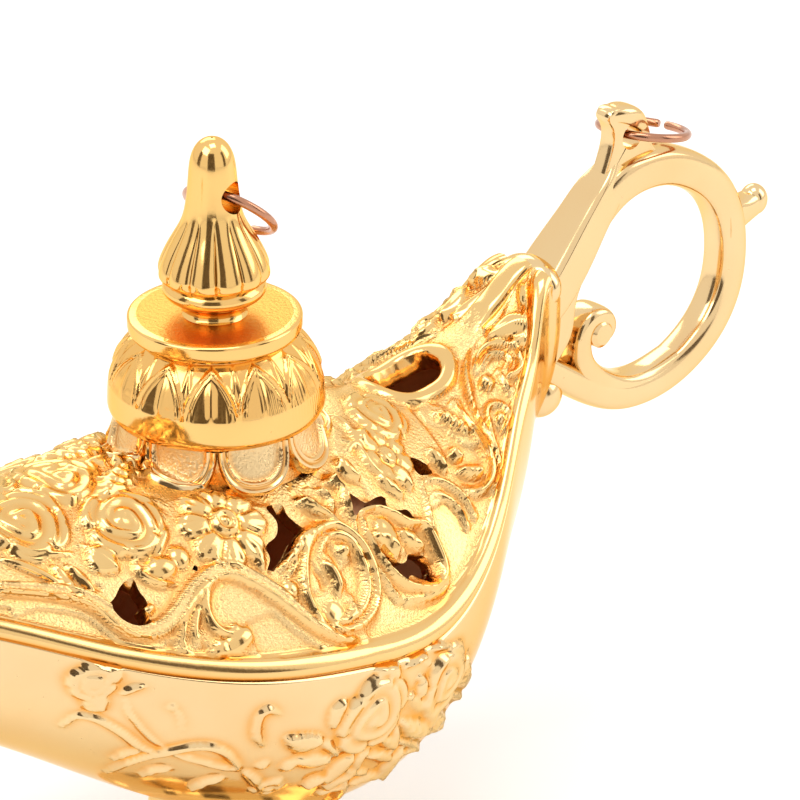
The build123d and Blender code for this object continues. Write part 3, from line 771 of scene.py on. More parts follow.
def gold(name, colour=pale_gold, polish=0.085, ripple=0.5):
    """Gold plate on a polished casting: faint ripples and pits, a deeper tone painted as shade in hollows,
    matt on grounds.
    """
    pit_size, pit_depth, pit_rough = 0.045, 0.02, 0.3
    satin_rough, satin_grain, hollow_rough = 0.15, 0.170, 0.06
    finish = Finish(bpy.data.materials.new(name))
    satin = finish.node("ShaderNodeAttribute", {"attribute_name": "satin"}, output=2)
    hollow = finish.node("ShaderNodeAttribute", {"attribute_name": "hollow"}, output=2)
    cloud = finish.noise(scale=90.0, detail=3.0)
    flow = finish.noise(scale=420.0, detail=3.0, roughness=0.55)
    grain = finish.noise(scale=3400.0, detail=3.0)
    speck = finish.node("ShaderNodeTexVoronoi", {"feature": "F1"}, {
        "Vector": finish.node("ShaderNodeTexCoord", output=3), "Scale": 520.0}) < pit_size
    # The tone deepens in random clouds, and in hollows as painted shade
    tone = finish.mixed(satin * 0.3, finish.mixed(cloud * 0.4 + hollow, colour, deep_gold_and_shade), matt_gold)
    rough = cloud * 0.08 + polish + satin * satin_rough + hollow * hollow_rough + speck * pit_rough
    height = flow * (0.020 * ripple) + grain * (satin * satin_grain) - speck * pit_depth
    return finish.coat(tone, rough, height, depth=MM, edge=gold_edge)


def inside_plate(name):
    """The unpolished inside of a casting under its thin plate: dull reddish brown."""
    finish = Finish(bpy.data.materials.new(name))
    cloud = finish.noise(scale=160.0, detail=4.0)
    tone = finish.mixed(cloud, (1.0, 0.52, 0.24), (0.97, 0.44, 0.18))
    return finish.coat(tone, cloud * 0.15 + 0.5, finish.noise(scale=2400.0, detail=2.0), depth=0.00004,
                       strength=0.5, metal=0.0)


def half_hull(curve, stretches, columns, inner_step):
    """The relief of one flank. stretches are [(start, step), ..., (end,)] along the lamp, columns are
    shares of each section's length, and the plain inside takes every inner_step-th line of both."""
    x = []
    for (start, step), after in zip(stretches[:-1], stretches[1:]):
        count = max(1, round((after[0] - start) / step))
        x += list(start + (after[0] - start) * np.arange(count) / count)
    relief = Relief(even_sections(np.array(x + [stretches[-1][0]]), curve, columns))
    relief.inner = np.ix_(*(np.unique(np.append(np.arange(0, count, inner_step), count - 1))
                            for count in relief.shape))
    return relief


plain_cell, bowl_cell = 0.7, 0.27
lip_depth = 0.45
mouth_end = lip_depth - mouth_reach
bowl_relief = half_hull(bowl_section, [(mouth_end, plain_cell), (-38.0, bowl_cell), (30.0, plain_cell),
                                       (stern_reach,)], 1 - np.linspace(1, 0, 130) ** 1.15, 4)

# The strokes of the carving: kind, pixels in the photograph, then sizes in millimetres
CABBAGE_ROSES = [
    ("rose", (372, 714), 4.7, 1.0, {"turn": 20}),
    ("rose", (444, 678), 3.9, 0.95, {"turn": 60}),
    ("leaf", [(404, 668), (420, 655), (436, 640)], 2.2, 0.6),
    ("leaf", [(385, 672), (372, 662), (358, 668)], 2.0, 0.5, {"veins": 5}),
    ("leaf", [(345, 700), (336, 712), (332, 728)], 2.0, 0.5, {"veins": 5}),
    ("leaf", [(420, 700), (432, 716), (440, 730)], 2.4, 0.6),
    ("leaf", [(400, 745), (388, 762), (378, 776)], 2.6, 0.6, {"veins": 9}),
    ("leaf", [(352, 752), (336, 768), (318, 782)], 2.6, 0.6, {"veins": 9}),
    ("leaf", [(322, 738), (302, 742), (284, 736)], 2.4, 0.6, {"veins": 6, "lobes": 0.1}),
    ("leaf", [(330, 757), (312, 760), (292, 758)], 2.0, 0.5, {"veins": 8}),
]
BRIAR_SPRIG = [
    ("rib", [(279, 714), (268, 709), (259, 716), (256, 732), (262, 746)], 1.0, 0.5),
    ("rib", [(61, 726), (76, 715), (93, 716), (118, 729), (140, 745), (160, 752)], 0.9, 0.55,
     {"ends": (0.4, 0.5)}),
    ("rib", [(106, 771), (128, 760), (150, 753), (166, 750), (190, 745), (210, 745), (226, 752),
             (238, 766)], 1.0, 0.62, {"ends": (0.4, 0.6)}),
    ("rib", [(166, 751), (190, 757), (216, 764), (242, 770)], 0.8, 0.5),
    ("rib", [(126, 700), (129, 712), (138, 724), (150, 737), (164, 747)], 0.5, 0.4),
    ("rib", [(173, 708), (180, 716), (182, 730)], 0.35, 0.3),
    ("bead", (172, 707), 0.45, 0.35),
    ("leaf", [(120, 694), (132, 688), (146, 685)], 0.9, 0.4, {"veins": 3}),
    ("rose", (93, 680), 2.3, 0.75, {"turn": 90, "stretch": 0.8}),
    ("leaf", [(104, 708), (94, 700), (82, 691)], 2.6, 0.55, {"veins": 4}),
    ("leaf", [(112, 758), (128, 751), (145, 749)], 1.0, 0.45, {"veins": 3}),
    ("leaf", [(140, 774), (156, 768), (174, 768)], 1.1, 0.45, {"veins": 3}),
    ("leaf", [(190, 788), (208, 779), (226, 777)], 1.3, 0.5, {"veins": 3}),
    ("daisy", (267, 786), 1.9, 5, 0.55),
    ("leaf", [(244, 770), (254, 778), (262, 790)], 1.2, 0.45, {"veins": 3}),
    ("bead", (288, 764), 0.9, 0.55),
    ("bead", (262, 764), 0.7, 0.45),
]
# Ground for small leaves: outline, how many, their length in pixels, width and rise, and the seed
ROSE_LEAVES = ([(334, 700), (330, 740), (300, 786), (330, 800), (410, 800), (436, 760), (460, 704),
                (472, 655), (462, 640), (440, 634), (400, 662), (420, 690), (410, 730)], 20, 32, 1.9, 0.6,
               4)
bowl_relief.draw(CABBAGE_ROSES + BRIAR_SPRIG)
bowl_relief.foliage(*ROSE_LEAVES)
relief_gain = 1.2
bowl_relief.height *= relief_gain
# The last cells dip under the cover's bead, as a groove along the seam
seam_cells, seam_gap = 3, 0.4
bowl_relief.grids()[0][:, -seam_cells:] = -seam_gap

bowl_gold = gold("bowl_gold", ripple=0.6)
bowl_shell = hull_shell("bowl_shell", bowl_relief, [bowl_gold, inside_plate("bowl_inside")])
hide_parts("bowl")

# Pierced cover
# The upper casting: a thin pierced lid over the whole bowl with roses, daisies, acanthus scrolls
# and satin grounds, and a plain bead along its rim. It is glued into the bowl's seam.
bead_height = 2.2
bead_proud = 0.55
bore_radius = 7.8
cover_end = 42.0
cover_cell = 0.24
cover_columns = np.linspace(0, 1, 118)
cover_relief = half_hull(cover_section, [(mouth_end, plain_cell), (-48.0, cover_cell), (cover_end,)],
                         cover_columns, 3)

# The ornament stands on a lower, softly polished ground
ground_depth, ground_satin = 0.25, 0.7
cover_relief.height -= ground_depth
cover_relief.satin += ground_satin
SATIN_FIELDS = [
    ("ground", [(232, 582), (250, 586), (272, 601), (290, 622), (306, 638), (322, 648), (290, 654),
                (250, 655), (232, 652), (243, 640), (240, 625), (226, 612), (222, 596)], 1.0),
    ("ground", [(429, 498), (440, 495), (452, 500), (464, 514), (470, 530), (466, 552), (456, 570),
                (446, 580), (446, 560), (436, 540), (428, 520)], 0.45),
    ("ground", [(386, 592), (410, 598), (440, 594), (458, 580), (440, 606), (410, 624), (380, 634),
                (378, 614)], 0.45),
]
# The S-scroll along the rim, with its fluted tongues and hooked curl
RIM_SCROLL = [
    ("band", [(0, 590), (40, 592), (78, 598), (100, 608), (120, 624), (140, 632), (160, 628), (176, 613),
              (190, 594), (206, 578), (226, 571), (250, 579), (272, 592), (292, 608), (314, 626),
              (336, 638), (356, 640)], 1.75, 0.85, {"ends": (0.8, 0.3)}),
    ("rib", [(203, 581), (192, 600), (184, 622), (182, 640), (186, 652)], 0.9, 0.6, {"groove": 0.2}),
    ("rib", [(209, 582), (199, 603), (194, 626), (196, 640), (203, 632)], 0.9, 0.65, {"groove": 0.2}),
    ("rib", [(214, 580), (206, 594), (206, 612), (214, 627), (226, 634), (234, 627)], 0.9, 0.75,
     {"groove": 0.15, "ends": (0.4, 0.8)}),
    ("bead", (239, 640), 1.2, 0.75, {"stretch": 0.6, "turn": 80}),
    ("bead", (222, 648), 1.0, 0.5),
]
LOOP_SCROLL = [
    ("rib", [(340, 640), (322, 624), (308, 602), (303, 580), (303, 558), (308, 542), (318, 530), (332, 526),
             (348, 534), (362, 550), (371, 572), (374, 594), (370, 612), (360, 624), (346, 630),
             (332, 627)], 0.95, 0.95, {"groove": 0.15, "ends": (0.5, 0.5)}),
    ("rib", [(318, 556), (322, 542), (332, 535), (346, 540), (358, 556), (365, 576), (366, 594), (360, 610),
             (348, 620), (334, 622)], 0.75, 0.65, {"ends": (0.4, 0.6)}),
    ("rib", [(322, 562), (330, 570), (336, 582), (338, 596)], 1.2, 0.75),
    ("rib", [(352, 600), (352, 611), (344, 620)], 0.6, 0.6),
    ("bead", (342, 551), 0.75, 0.8),
    ("bead", (334, 613), 1.3, 0.3),
    ("leaf", [(318, 529), (300, 540), (290, 556), (279, 573)], 1.6, 0.8, {"veins": 6, "lobes": 0.12}),
    ("rib", [(308, 538), (297, 552), (293, 568), (283, 580)], 0.6, 0.65),
    ("rib", [(309, 542), (305, 558), (302, 574), (294, 584)], 0.55, 0.6),
    ("bead", (290, 590), 1.0, 0.5),
]
# The second loop, round the two openings beside the satin field
SECOND_LOOP = [
    ("rib", [(352, 520), (356, 514), (372, 509), (389, 514), (404, 523), (421, 525), (430, 540), (437, 556),
             (441, 570), (439, 580), (431, 587), (418, 588), (403, 584), (389, 572), (378, 557), (370, 543),
             (364, 530), (362, 520)], 0.95, 0.9, {"ends": (0.6, 0.4)}),
    ("rib", [(353, 523), (356, 538), (366, 556), (378, 572), (390, 588), (400, 598)], 0.55, 0.6,
     {"ends": (0.9, 0.2)}),
    ("rib", [(420, 481), (424, 498), (428, 520), (434, 540), (441, 556), (445, 572), (442, 588), (428, 596),
             (408, 598)], 0.75, 0.65, {"ends": (0.4, 0.3)}),
    ("rib", [(420, 483), (432, 480), (446, 484), (462, 496), (474, 514)], 0.6, 0.55),
    ("rib", [(428, 498), (434, 494), (448, 498), (460, 510), (468, 526)], 0.45, 0.4),
    ("bead", (386, 536), 1.5, 0.6, {"stretch": 0.7}),
    ("leaf", [(372, 536), (388, 540), (398, 556)], 1.9, 0.7, {"veins": 3}),
    ("leaf", [(398, 532), (412, 540), (424, 550)], 1.8, 0.5, {"veins": 3}),
]
LOZENGE_LEAF = [
    ("rib", [(291, 455), (289, 474), (296, 494), (312, 508), (330, 519), (343, 530)], 0.8, 0.9,
     {"ends": (0.4, 0.5)}),
    ("rib", [(291, 455), (304, 466), (322, 474), (336, 486), (344, 502), (351, 519)], 0.9, 1.0,
     {"ends": (0.4, 0.5)}),
    ("rib", [(303, 484), (312, 484), (326, 493), (332, 505), (328, 512), (314, 503), (304, 493),
             (303, 484)], 0.4, 0.5, {"ends": (0.8, 0.8)}),
]
# The daisy beside the lid, and the flowers round it
FLOWERS = [
    ("daisy", (222, 525.5), 5.0, 8, 1.1, {"turn": 18}),
    ("rose", (122, 525), 4.5, 1.05, {"turn": 10, "stretch": 1.05}),
    ("rose", (20, 525), 5.0, 1.05, {"turn": 40, "stretch": 1.05}),
    ("rose", (62, 483), 4.1, 0.95, {"turn": 70}),
    ("rose", (22, 450), 3.6, 0.8, {"turn": 25}),
    ("rib", [(76, 530), (88, 507), (116, 498), (146, 502), (166, 520)], 0.8, 0.7, {"groove": 0.12}),
    ("rib", [(78, 545), (104, 553), (132, 552), (158, 540)], 0.7, 0.6, {"groove": 0.1}),
    ("rib", [(0, 500), (22, 494), (44, 500), (62, 520), (66, 540)], 0.8, 0.7, {"groove": 0.12}),
    ("rib", [(18, 478), (40, 464), (68, 460), (92, 470), (100, 486)], 0.7, 0.65, {"groove": 0.1}),
    ("rose", (376, 417), 3.6, 0.95, {"turn": 30}),
    ("daisy", (385, 458), 3.6, 7, 0.8, {"turn": 30, "grooves": 4}),
    ("leaf", [(104, 500), (117, 482), (134, 462)], 2.8, 0.85, {"veins": 6, "lobes": 0.15}),
    ("leaf", [(66, 446), (78, 438), (92, 428)], 2.4, 0.6, {"veins": 6, "lobes": 0.15}),
    ("leaf", [(86, 551), (100, 560), (118, 573)], 3.2, 0.7, {"veins": 8, "lobes": 0.1}),
    ("rib", [(0, 546), (26, 552), (48, 556), (72, 554)], 0.7, 0.6),
    ("rib", [(0, 560), (24, 568), (44, 577), (70, 594)], 0.9, 0.7, {"groove": 0.12}),
    ("leaf", [(50, 566), (66, 584), (82, 606)], 1.5, 0.6, {"veins": 2}),
    ("leaf", [(64, 566), (80, 580), (98, 600)], 1.3, 0.55, {"veins": 2}),
    ("rib", [(165, 528), (160, 545), (154, 558)], 1.1, 0.7),
    ("rib", [(134, 556), (136, 570), (146, 580), (160, 585), (176, 584)], 0.7, 0.7),
    ("bead", (160, 569), 1.9, 0.8, {"stretch": 1.4, "turn": 10}),
    ("bead", (178, 558), 1.3, 0.6),
    ("leaf", [(154, 606), (142, 612), (136, 606)], 1.2, 0.5, {"veins": 3}),
    ("leaf", [(212, 548), (216, 562), (222, 570)], 1.4, 0.5, {"veins": 2}),
    ("leaf", [(252, 545), (258, 560), (262, 572)], 1.6, 0.6, {"veins": 3}),
    ("rib", [(92, 474), (110, 500), (128, 506), (150, 500), (166, 506)], 0.6, 0.5),
    ("rib", [(340, 440), (356, 448), (372, 470), (392, 480), (412, 484)], 0.8, 0.55),
    ("leaf", [(334, 458), (346, 470), (360, 482)], 1.8, 0.6, {"veins": 4}),
    ("leaf", [(396, 470), (404, 480), (410, 492)], 1.8, 0.6, {"veins": 4}),
    ("leaf", [(376, 478), (390, 488), (402, 500)], 1.7, 0.6, {"veins": 4}),
    ("rib", [(322, 408), (340, 420), (352, 438), (350, 452)], 0.7, 0.5),
    ("leaf", [(426, 450), (438, 460), (446, 474)], 1.6, 0.55, {"veins": 4}),
]
# Rope leaves and ribs beside the oval opening
ROPE_LEAVES = [
    ("rib", [(431, 413), (446, 419), (458, 426), (469, 434)], 1.4, 0.75,
     {"twist": 0.75, "ends": (0.2, 0.2)}),
    ("rib", [(434, 343), (449, 333), (464, 324), (480, 316)], 1.7, 0.75,
     {"twist": 0.8, "ends": (0.2, 0.2)}),
    ("rib", [(470, 350), (466, 366), (467, 384), (471, 404), (480, 424), (490, 442), (496, 458), (498, 474),
             (493, 488)], 0.6, 0.8, {"ends": (0.5, 0.4)}),
    ("rib", [(455, 404), (466, 420), (480, 438), (490, 458), (491, 476), (482, 490), (466, 492)], 0.7, 0.75,
     {"ends": (0.4, 0.4)}),
    ("rib", [(499, 486), (498, 464), (492, 440), (487, 420), (486, 411), (493, 405), (503, 407), (508, 416),
             (504, 428)], 0.55, 0.7, {"ends": (0.4, 0.7)}),
    ("bead", (500, 418), 0.6, 0.6),
    ("rib", [(474, 368), (479, 356), (490, 347), (504, 345), (515, 352), (519, 364), (516, 373),
             (508, 376)], 0.7, 0.85, {"ends": (0.4, 0.8)}),
    ("rib", [(482, 364), (490, 355), (502, 354), (510, 361), (507, 370)], 0.5, 0.65),
    ("rib", [(499, 372), (504, 382), (511, 390)], 0.5, 0.5),
]
# The palmette that fills the pointed arch under the handle
PALMETTE = [
    ("leaf", [(538, 324), (514, 326), (486, 343)], 2.7, 0.95, {"veins": 1, "vein": 0.0, "ridge": 0.22}),
    ("leaf", [(539, 332), (522, 340), (506, 350)], 1.8, 0.7, {"veins": 1, "vein": 0.0, "ridge": 0.18}),
    ("leaf", [(538, 316), (532, 300), (518, 282)], 2.7, 0.95, {"veins": 1, "vein": 0.0, "ridge": 0.22}),
    ("leaf", [(484, 334), (496, 306), (515, 278)], 2.3, 0.95, {"veins": 1, "vein": 0.0, "ridge": 0.25}),
    ("leaf", [(474, 310), (486, 294), (502, 279)], 1.7, 0.75, {"veins": 5}),
    ("rib", [(542, 312), (536, 290), (526, 270)], 0.7, 0.7),
    ("leaf", [(424, 356), (442, 350), (458, 346)], 1.4, 0.5, {"veins": 5}),
]
# Small leaves on the ground that is left between the flowers, written as the bowl's are
SMALL_LEAVES = [
    ([(60, 448), (100, 430), (150, 450), (168, 492), (200, 506), (176, 520), (170, 545), (150, 556),
      (112, 548), (76, 540), (60, 505), (84, 480)], 26, 28, 1.8, 0.75, 11),
    ([(0, 470), (40, 500), (70, 530), (90, 560), (110, 600), (70, 594), (0, 575)], 16, 26, 1.7, 0.7, 5),
    ([(286, 450), (330, 405), (352, 400), (360, 440), (420, 440), (470, 450), (476, 490), (420, 478),
      (400, 492), (350, 484), (330, 476)], 30, 26, 1.7, 0.75, 8),
    ([(150, 560), (190, 548), (262, 548), (266, 580), (206, 572), (190, 590), (172, 600), (160, 612),
      (140, 600)], 14, 22, 1.5, 0.7, 3),
    ([(440, 408), (468, 404), (500, 440), (488, 486), (470, 450), (440, 424)], 9, 22, 1.5, 0.6, 9),
    ([(484, 384), (526, 352), (520, 400), (508, 440), (496, 430)], 7, 20, 1.4, 0.55, 2),
]
cover_relief.draw(SATIN_FIELDS + RIM_SCROLL + LOOP_SCROLL + SECOND_LOOP + LOZENGE_LEAF + FLOWERS + ROPE_LEAVES
                  + PALMETTE)
for field in SMALL_LEAVES:
    cover_relief.foliage(*field)
cover_relief.height *= relief_gain
height, satin, solid = cover_relief.grids()
cover_x, cover_y, cover_z = np.moveaxis(cover_relief.grid, 2, 0)
section_length = np.linalg.norm(np.diff(cover_relief.grid, axis=1), axis=2).sum(1)
from_rim = section_length[:, None] * (1 - cover_columns)[None, :]
height *= held((from_rim - bead_height - 0.15) / 0.35)

# Over the arch the crest is smooth
crest_from, crest_run, crest_half, crest_fade = 20.0, 4.0, 1.5, 1.5
up_the_arch = held((cover_x - crest_from) / crest_run)
off_crest = held((np.abs(cover_y) - crest_half) / crest_fade)
height *= 1 - up_the_arch * (1 - off_crest)

# Along the rim: the bead, with a fine quirk over it
quirk_gap, quirk_half, quirk_rise = 0.45, 0.16, 0.22
on_bead = from_rim < bead_height
across_bead = held(1 - np.abs(2 * from_rim / bead_height - 1) ** 2.6)
height[on_bead] = bead_proud * across_bead[on_bead] ** 0.6
height += quirk_rise * hump(from_rim - bead_height - quirk_gap, quirk_half)
satin[from_rim < bead_height + 0.6] = 0.0

# The arch ends in a smooth rounded band
arch_start, arch_run, arch_breadth, arch_rise = 33.5, 3.0, 1.4, 0.6
on_arch = held((cover_x - arch_start) / arch_run)
across_arch = np.abs(cover_y) / arch_breadth
banded = height * (1 - on_arch) + arch_rise * dome(across_arch, 4) * on_arch
height[:] = np.where(across_arch < 1, banded, height)
satin[:] = np.where(across_arch < 1.2, satin * (1 - on_arch), satin)

# The spout's last stretch is plain, and flares a little at its mouth
plain_from, plain_run = -50.0, 6.0
mouth_flare, flare_half = 0.9, 1.1
off_spout = held((cover_x - plain_from) / plain_run)
height[:] = np.where(on_bead, height, height * off_spout)
satin *= off_spout
height += mouth_flare * hump(cover_x + mouth_reach, flare_half)

# Round the neck the crest dips, and the ground is bare under the neck's petals
dip_depth, dip_from, dip_to, dip_level, dip_fade = 1.0, 11.5, 15.5, 48.0, 1.5
bare_ground = -0.34


def neck_dip(from_axis, level):
    """How deep the cover dips round the neck."""
    share = held((dip_to - from_axis) / (dip_to - dip_from))
    return dip_depth * share * share * (3 - 2 * share) * held((level - dip_level) / dip_fade)


from_axis = np.hypot(cover_x, cover_y)
bared = np.where(from_axis < dip_from, np.minimum(height, bare_ground), height)
height[:] = bared - neck_dip(from_axis, cover_z)

# Openings: the neck, the oval on the crest, and the ragged gaps between the ornament
oval_place, oval_half, oval_radius, oval_reach = 25.4, 1.25, 2.75, 6.0
oval_rim, oval_rise = 1.7, 0.6
from_oval = np.hypot(np.maximum(np.abs(cover_x - oval_place) - oval_half, 0), cover_y) - oval_radius
crest_there = crest_height(np.clip(cover_x, -spout_reach, stern_reach))
from_oval[cover_z < crest_there - oval_reach] = cover_relief.uncut
solid[:] = np.minimum(solid, np.minimum(from_axis - bore_radius, from_oval))
rounded_rim = np.where(from_oval > 0, oval_rise * dome(2 * from_oval / oval_rim - 1), 0)
height[:] = np.where(from_oval < oval_rim, rounded_rim, height)
satin[from_oval < oval_rim] = 0.0
RAGGED_GAPS = [
    [(108, 608), (115, 597), (122, 584), (133, 579), (139, 591), (146, 600), (146, 607), (141, 611),
     (151, 622), (137, 628), (120, 622)],
    [(266, 507), (282, 502), (288, 513), (295, 520), (305, 529), (296, 538), (290, 552), (277, 567),
     (270, 576), (267, 571), (270, 559), (266, 546), (276, 536), (277, 523), (270, 513)],
    [(331, 481), (340, 481), (349, 490), (361, 498), (365, 503), (377, 497), (385, 497), (387, 506),
     (398, 510), (408, 510), (414, 522), (401, 518), (383, 510), (368, 508), (357, 512), (351, 519),
     (345, 501), (337, 488)],
    [(375, 546), (380, 544), (391, 555), (400, 562), (408, 561), (411, 553), (427, 556), (434, 566),
     (434, 581), (426, 581), (416, 575), (411, 576), (406, 582), (392, 573), (383, 561)],
    [(408, 459), (417, 459), (434, 471), (420, 475)],
    [(192, 569), (196, 564), (198, 570), (195, 573)],
]
for outline in RAGGED_GAPS:
    cover_relief.pierce(outline)

cover_gold = gold("cover_gold", (0.880, 0.615, 0.265), polish=0.10, ripple=0.8)
cover_shell = hull_shell("cover_shell", cover_relief, [cover_gold, inside_plate("cover_inside")])
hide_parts("pierced_cover")

# Mouth of the spout
# The rolled lip round the mouth, where the two castings end together. It is cast with them and
# polished, and it closes the end of their seam.


def tube_faces(rings, sides, closed=False):
    """The four-sided faces of a tube of rings with so many sides, numbered ring by ring. A closed
    tube runs back into its first ring."""
    number = np.arange(rings * sides).reshape(rings, sides)
    beside, after = np.roll(number, -1, 1), np.roll(number, -1, 0)
    faces = np.stack((number, beside, np.roll(after, -1, 1), after), 2)
    return (faces if closed else faces[:-1]).reshape(-1, 4).tolist()


lip_proud, lip_sides, lip_places = 0.15, 20, 120
near_line = np.concatenate((bowl_relief.grid[0], cover_relief.grid[0][::-1]))
closed_line = np.concatenate((near_line, near_line[-2::-1] * (1, -1, 1)))
places = run_along(closed_line)
even_places = np.linspace(0, places[-1], lip_places, endpoint=False)
mouth_line = np.stack([np.interp(even_places, places, closed_line[:, axis]) for axis in range(3)], 1)
inward = mouth_line.mean(0) - mouth_line
inward /= np.linalg.norm(inward, axis=1, keepdims=True)
forward = np.linalg.svd(mouth_line - mouth_line.mean(0))[2][2]
forward *= -np.sign(forward[0])
round_lip = np.linspace(0, 2 * np.pi, lip_sides, endpoint=False)[None, :, None]
lip_points = ((mouth_line + inward * wall / 2)[:, None] + forward * np.sin(round_lip) * lip_depth
              - inward[:, None] * np.cos(round_lip) * (wall / 2 + lip_proud))
mouth_lip = new_piece("mouth_lip", lip_points.reshape(-1, 3), tube_faces(lip_places, lip_sides, closed=True),
                      [bowl_gold])

# Neck petals
# Eight scalloped petals stand out round the cover's neck, cast with it, and drape onto its
# shoulder where that is high. Each has a double rim round a sunken satin panel.
petal_count = 8
neck_top = seat_height - 0.3
neck_radius = 9.8
petal_drop = 4.0
petal_flare = 1.3
petal_length = 4.7
petal_breadth = 3.9
petal_thick = 1.0
petal_lift = 0.2
petal_square = 2.3
petal_turn = math.radians(228)
# Each rim's rise, its place in from the petal's edge, and its half width
PETAL_RIMS = [(0.30, 0.32, 0.24), (0.20, 0.98, 0.15)]
panel_sunk, panel_start = 0.22, 1.05
edge_drop, edge_round = 0.5, 0.35


def joined(parts):
    """One mesh of several parts. A part is its points, its faces and, for each point, its values."""
    points, _, *values = zip(*parts)
    starts = np.cumsum([0] + [len(part) for part in points])
    faces = [[corner + start for corner in face] for start, part in zip(starts, parts) for face in part[1]]
    return [np.concatenate(points), faces] + [np.concatenate(value) for value in values]


def cover_top(x, y):
    """Height of the plain cover over a point, with the dip round the neck."""
    level = cover_section(x, held(np.abs(y) / half_breadth(x)))[1]
    return level - neck_dip(np.hypot(x, y), level)


def petal_path(angle):
    """The line down a petal at an angle: it falls beside the neck until it meets the shoulder."""
    radius = np.linspace(neck_radius, neck_radius + 2 * petal_length, 300)
    fall = neck_top - petal_drop * ((radius - neck_radius) / petal_flare) ** (2 / 3)
    height = np.maximum(fall, cover_top(radius * math.cos(angle), radius * math.sin(angle)) + petal_lift)
    return run_along(np.stack((radius, height), 1)), radius, height


def neck_petal(angle):
    """One petal as a shell: its points, its faces, how satin each point is, and the painted shade in its
    grooves.
    """
    half = math.pi / petal_count
    turns, drops = np.meshgrid(np.linspace(-half, half, 70), np.linspace(0, petal_length, 60), indexing="ij")
    reach = np.abs(turns / half) ** petal_square + (drops / petal_length) ** petal_square
    reach = reach ** (1 / petal_square)
    inward = (1 - reach) * petal_breadth
    grid = np.zeros((*turns.shape, 3))
    for row, direction in enumerate(angle + turns[:, 0]):
        run, radius, height = petal_path(direction)
        radius, height = np.interp(drops[row], run, radius), np.interp(drops[row], run, height)
        grid[row] = np.stack((radius * math.cos(direction), radius * math.sin(direction), height), 1)
    for _ in range(4):
        grid[1:-1, 1:-1] = (grid[:-2, 1:-1] + grid[2:, 1:-1] + grid[1:-1, :-2] + grid[1:-1, 2:]) / 4
    height = sum(rise * hump(inward - place, width) for rise, place, width in PETAL_RIMS)
    height -= panel_sunk * held((inward - panel_start) / 0.25)
    height -= edge_drop * (1 - dome(1 - held(inward / edge_round)))
    satin = held((inward - panel_start - 0.05) / 0.15)
    # Painted shade in the grooves inside the two rims
    hollow = 0.7 * hump(inward - 0.66, 0.14) + 0.5 * hump(inward - 1.3, 0.22)
    normals = sheet_normals(grid, grid * (1, 1, 0))
    outer, kept = fitted_edges(grid + normals * height[..., None], inward + 1e-4)
    inner, _ = fitted_edges(grid - normals * petal_thick, inward + 1e-4)
    faces = sheet_faces(kept)
    count = inward.size
    walls = []
    for loop in edge_loops(faces):
        walls += [[b, a, a + count, b + count] for a, b in zip(loop, loop[1:] + loop[:1])]
    backs = [[corner + count for corner in face][::-1] for face in faces]
    unmarked = np.zeros(count)
    return (np.concatenate((outer.reshape(-1, 3), inner.reshape(-1, 3))), faces + walls + backs,
            np.concatenate((satin.reshape(-1), unmarked)), np.concatenate((hollow.reshape(-1), unmarked)))


def turned(profile, turns, shape=None):
    """A closed profile of (radius, height) spun round the lamp's axis. shape changes the radii by
    angle. Gives points and faces."""
    profile = np.array(profile, float)
    angle = np.linspace(0, 2 * np.pi, turns, endpoint=False)[:, None]
    radius, height = profile[None, :, 0] + 0 * angle, profile[None, :, 1] + 0 * angle
    if shape is not None:
        radius, height = shape(angle, radius, height)
    points = np.stack((radius * np.cos(angle), radius * np.sin(angle), height), 2)
    return points.reshape(-1, 3), tube_faces(turns, len(profile), closed=True)


def resampled(corners, step):
    """A smooth open line through corners, cut into even steps."""
    corners = np.array(corners, float)
    run = run_along(corners)
    places = np.linspace(0, run[-1], max(2, int(run[-1] / step)) + 1)
    return np.stack([smooth_line(run, corners[:, k])(places) for k in range(corners.shape[1])], 1)


petals = [neck_petal(petal_turn + 2 * math.pi * (place + 0.5) / petal_count) for place in range(petal_count)]
# The neck itself is a plain tube behind the petals, darkened all over with painted shade
neck_depth, neck_satin, neck_shade = 5.6, 0.3, 0.6
neck_points, neck_faces = turned([
    (bore_radius, neck_top), (neck_radius - 0.5, neck_top), (neck_radius - 0.3, neck_top - 0.2),
    (neck_radius - 0.5, neck_top - 2.5), (neck_radius - 0.2, neck_top - neck_depth),
    (bore_radius, neck_top - neck_depth)], 180)
neck_marks = np.ones(len(neck_points))
petals.append((neck_points, neck_faces, neck_satin * neck_marks, neck_shade * neck_marks))
points, faces, satin, hollow = joined(petals)
neck_petals = new_piece("neck_petals", points, faces, [gold("petal_gold")], None, satin, hollow, sharp=50)

# Lid
# A loose domed lid, cast and plated, that sits on the neck by its skirt. Twelve lancet petals stand
# round its shoulder under a flat turned disc, and the belly below them is plain.
lid_radius, lid_height = 10.7, 10.2
disc_radius, disc_thick, disc_seat = 8.6, 2.0, 7.5
skirt_radius, skirt_drop, skirt_wall = 7.45, 4.0, 1.2
roof_thick, axis_gap = 1.6, 0.6
lancet_count = 12
lancet_low, lancet_high = 3.2, 7.75
lancet_turn = math.radians(228 - 3)
LID_SHARES = [(0.965, 0.0), (0.995, 0.06), (1.0, 0.14), (0.99, 0.29), (0.955, 0.44), (0.89, 0.58),
              (0.80, 0.70), (0.715, 0.775)]
belly = resampled([(lid_radius * out, lid_height * high) for out, high in LID_SHARES], 0.16)
disc_low = lid_height - disc_thick
under_round, rim_round = 0.9, 0.35
rim_middle = (disc_radius - rim_round, lid_height - rim_round)
disc_edge = [(disc_radius - under_round * (1 - math.sin(t)), disc_low + under_round * (1 - math.cos(t)))
             for t in np.linspace(0, math.pi / 2, 14)]
disc_edge += [(rim_middle[0] + rim_round * math.cos(t), rim_middle[1] + rim_round * math.sin(t))
              for t in np.linspace(0, math.pi / 2, 9)]
disc_steps, disc_middle = 12, 1.75
disc_step = (disc_radius - disc_middle) / disc_steps
disc_top = [(rim_middle[0] - disc_step * k, lid_height) for k in range(1, disc_steps + 1)]
roof = disc_low - roof_thick
inside_radius = skirt_radius - skirt_wall
skirt_chamfer = 0.2
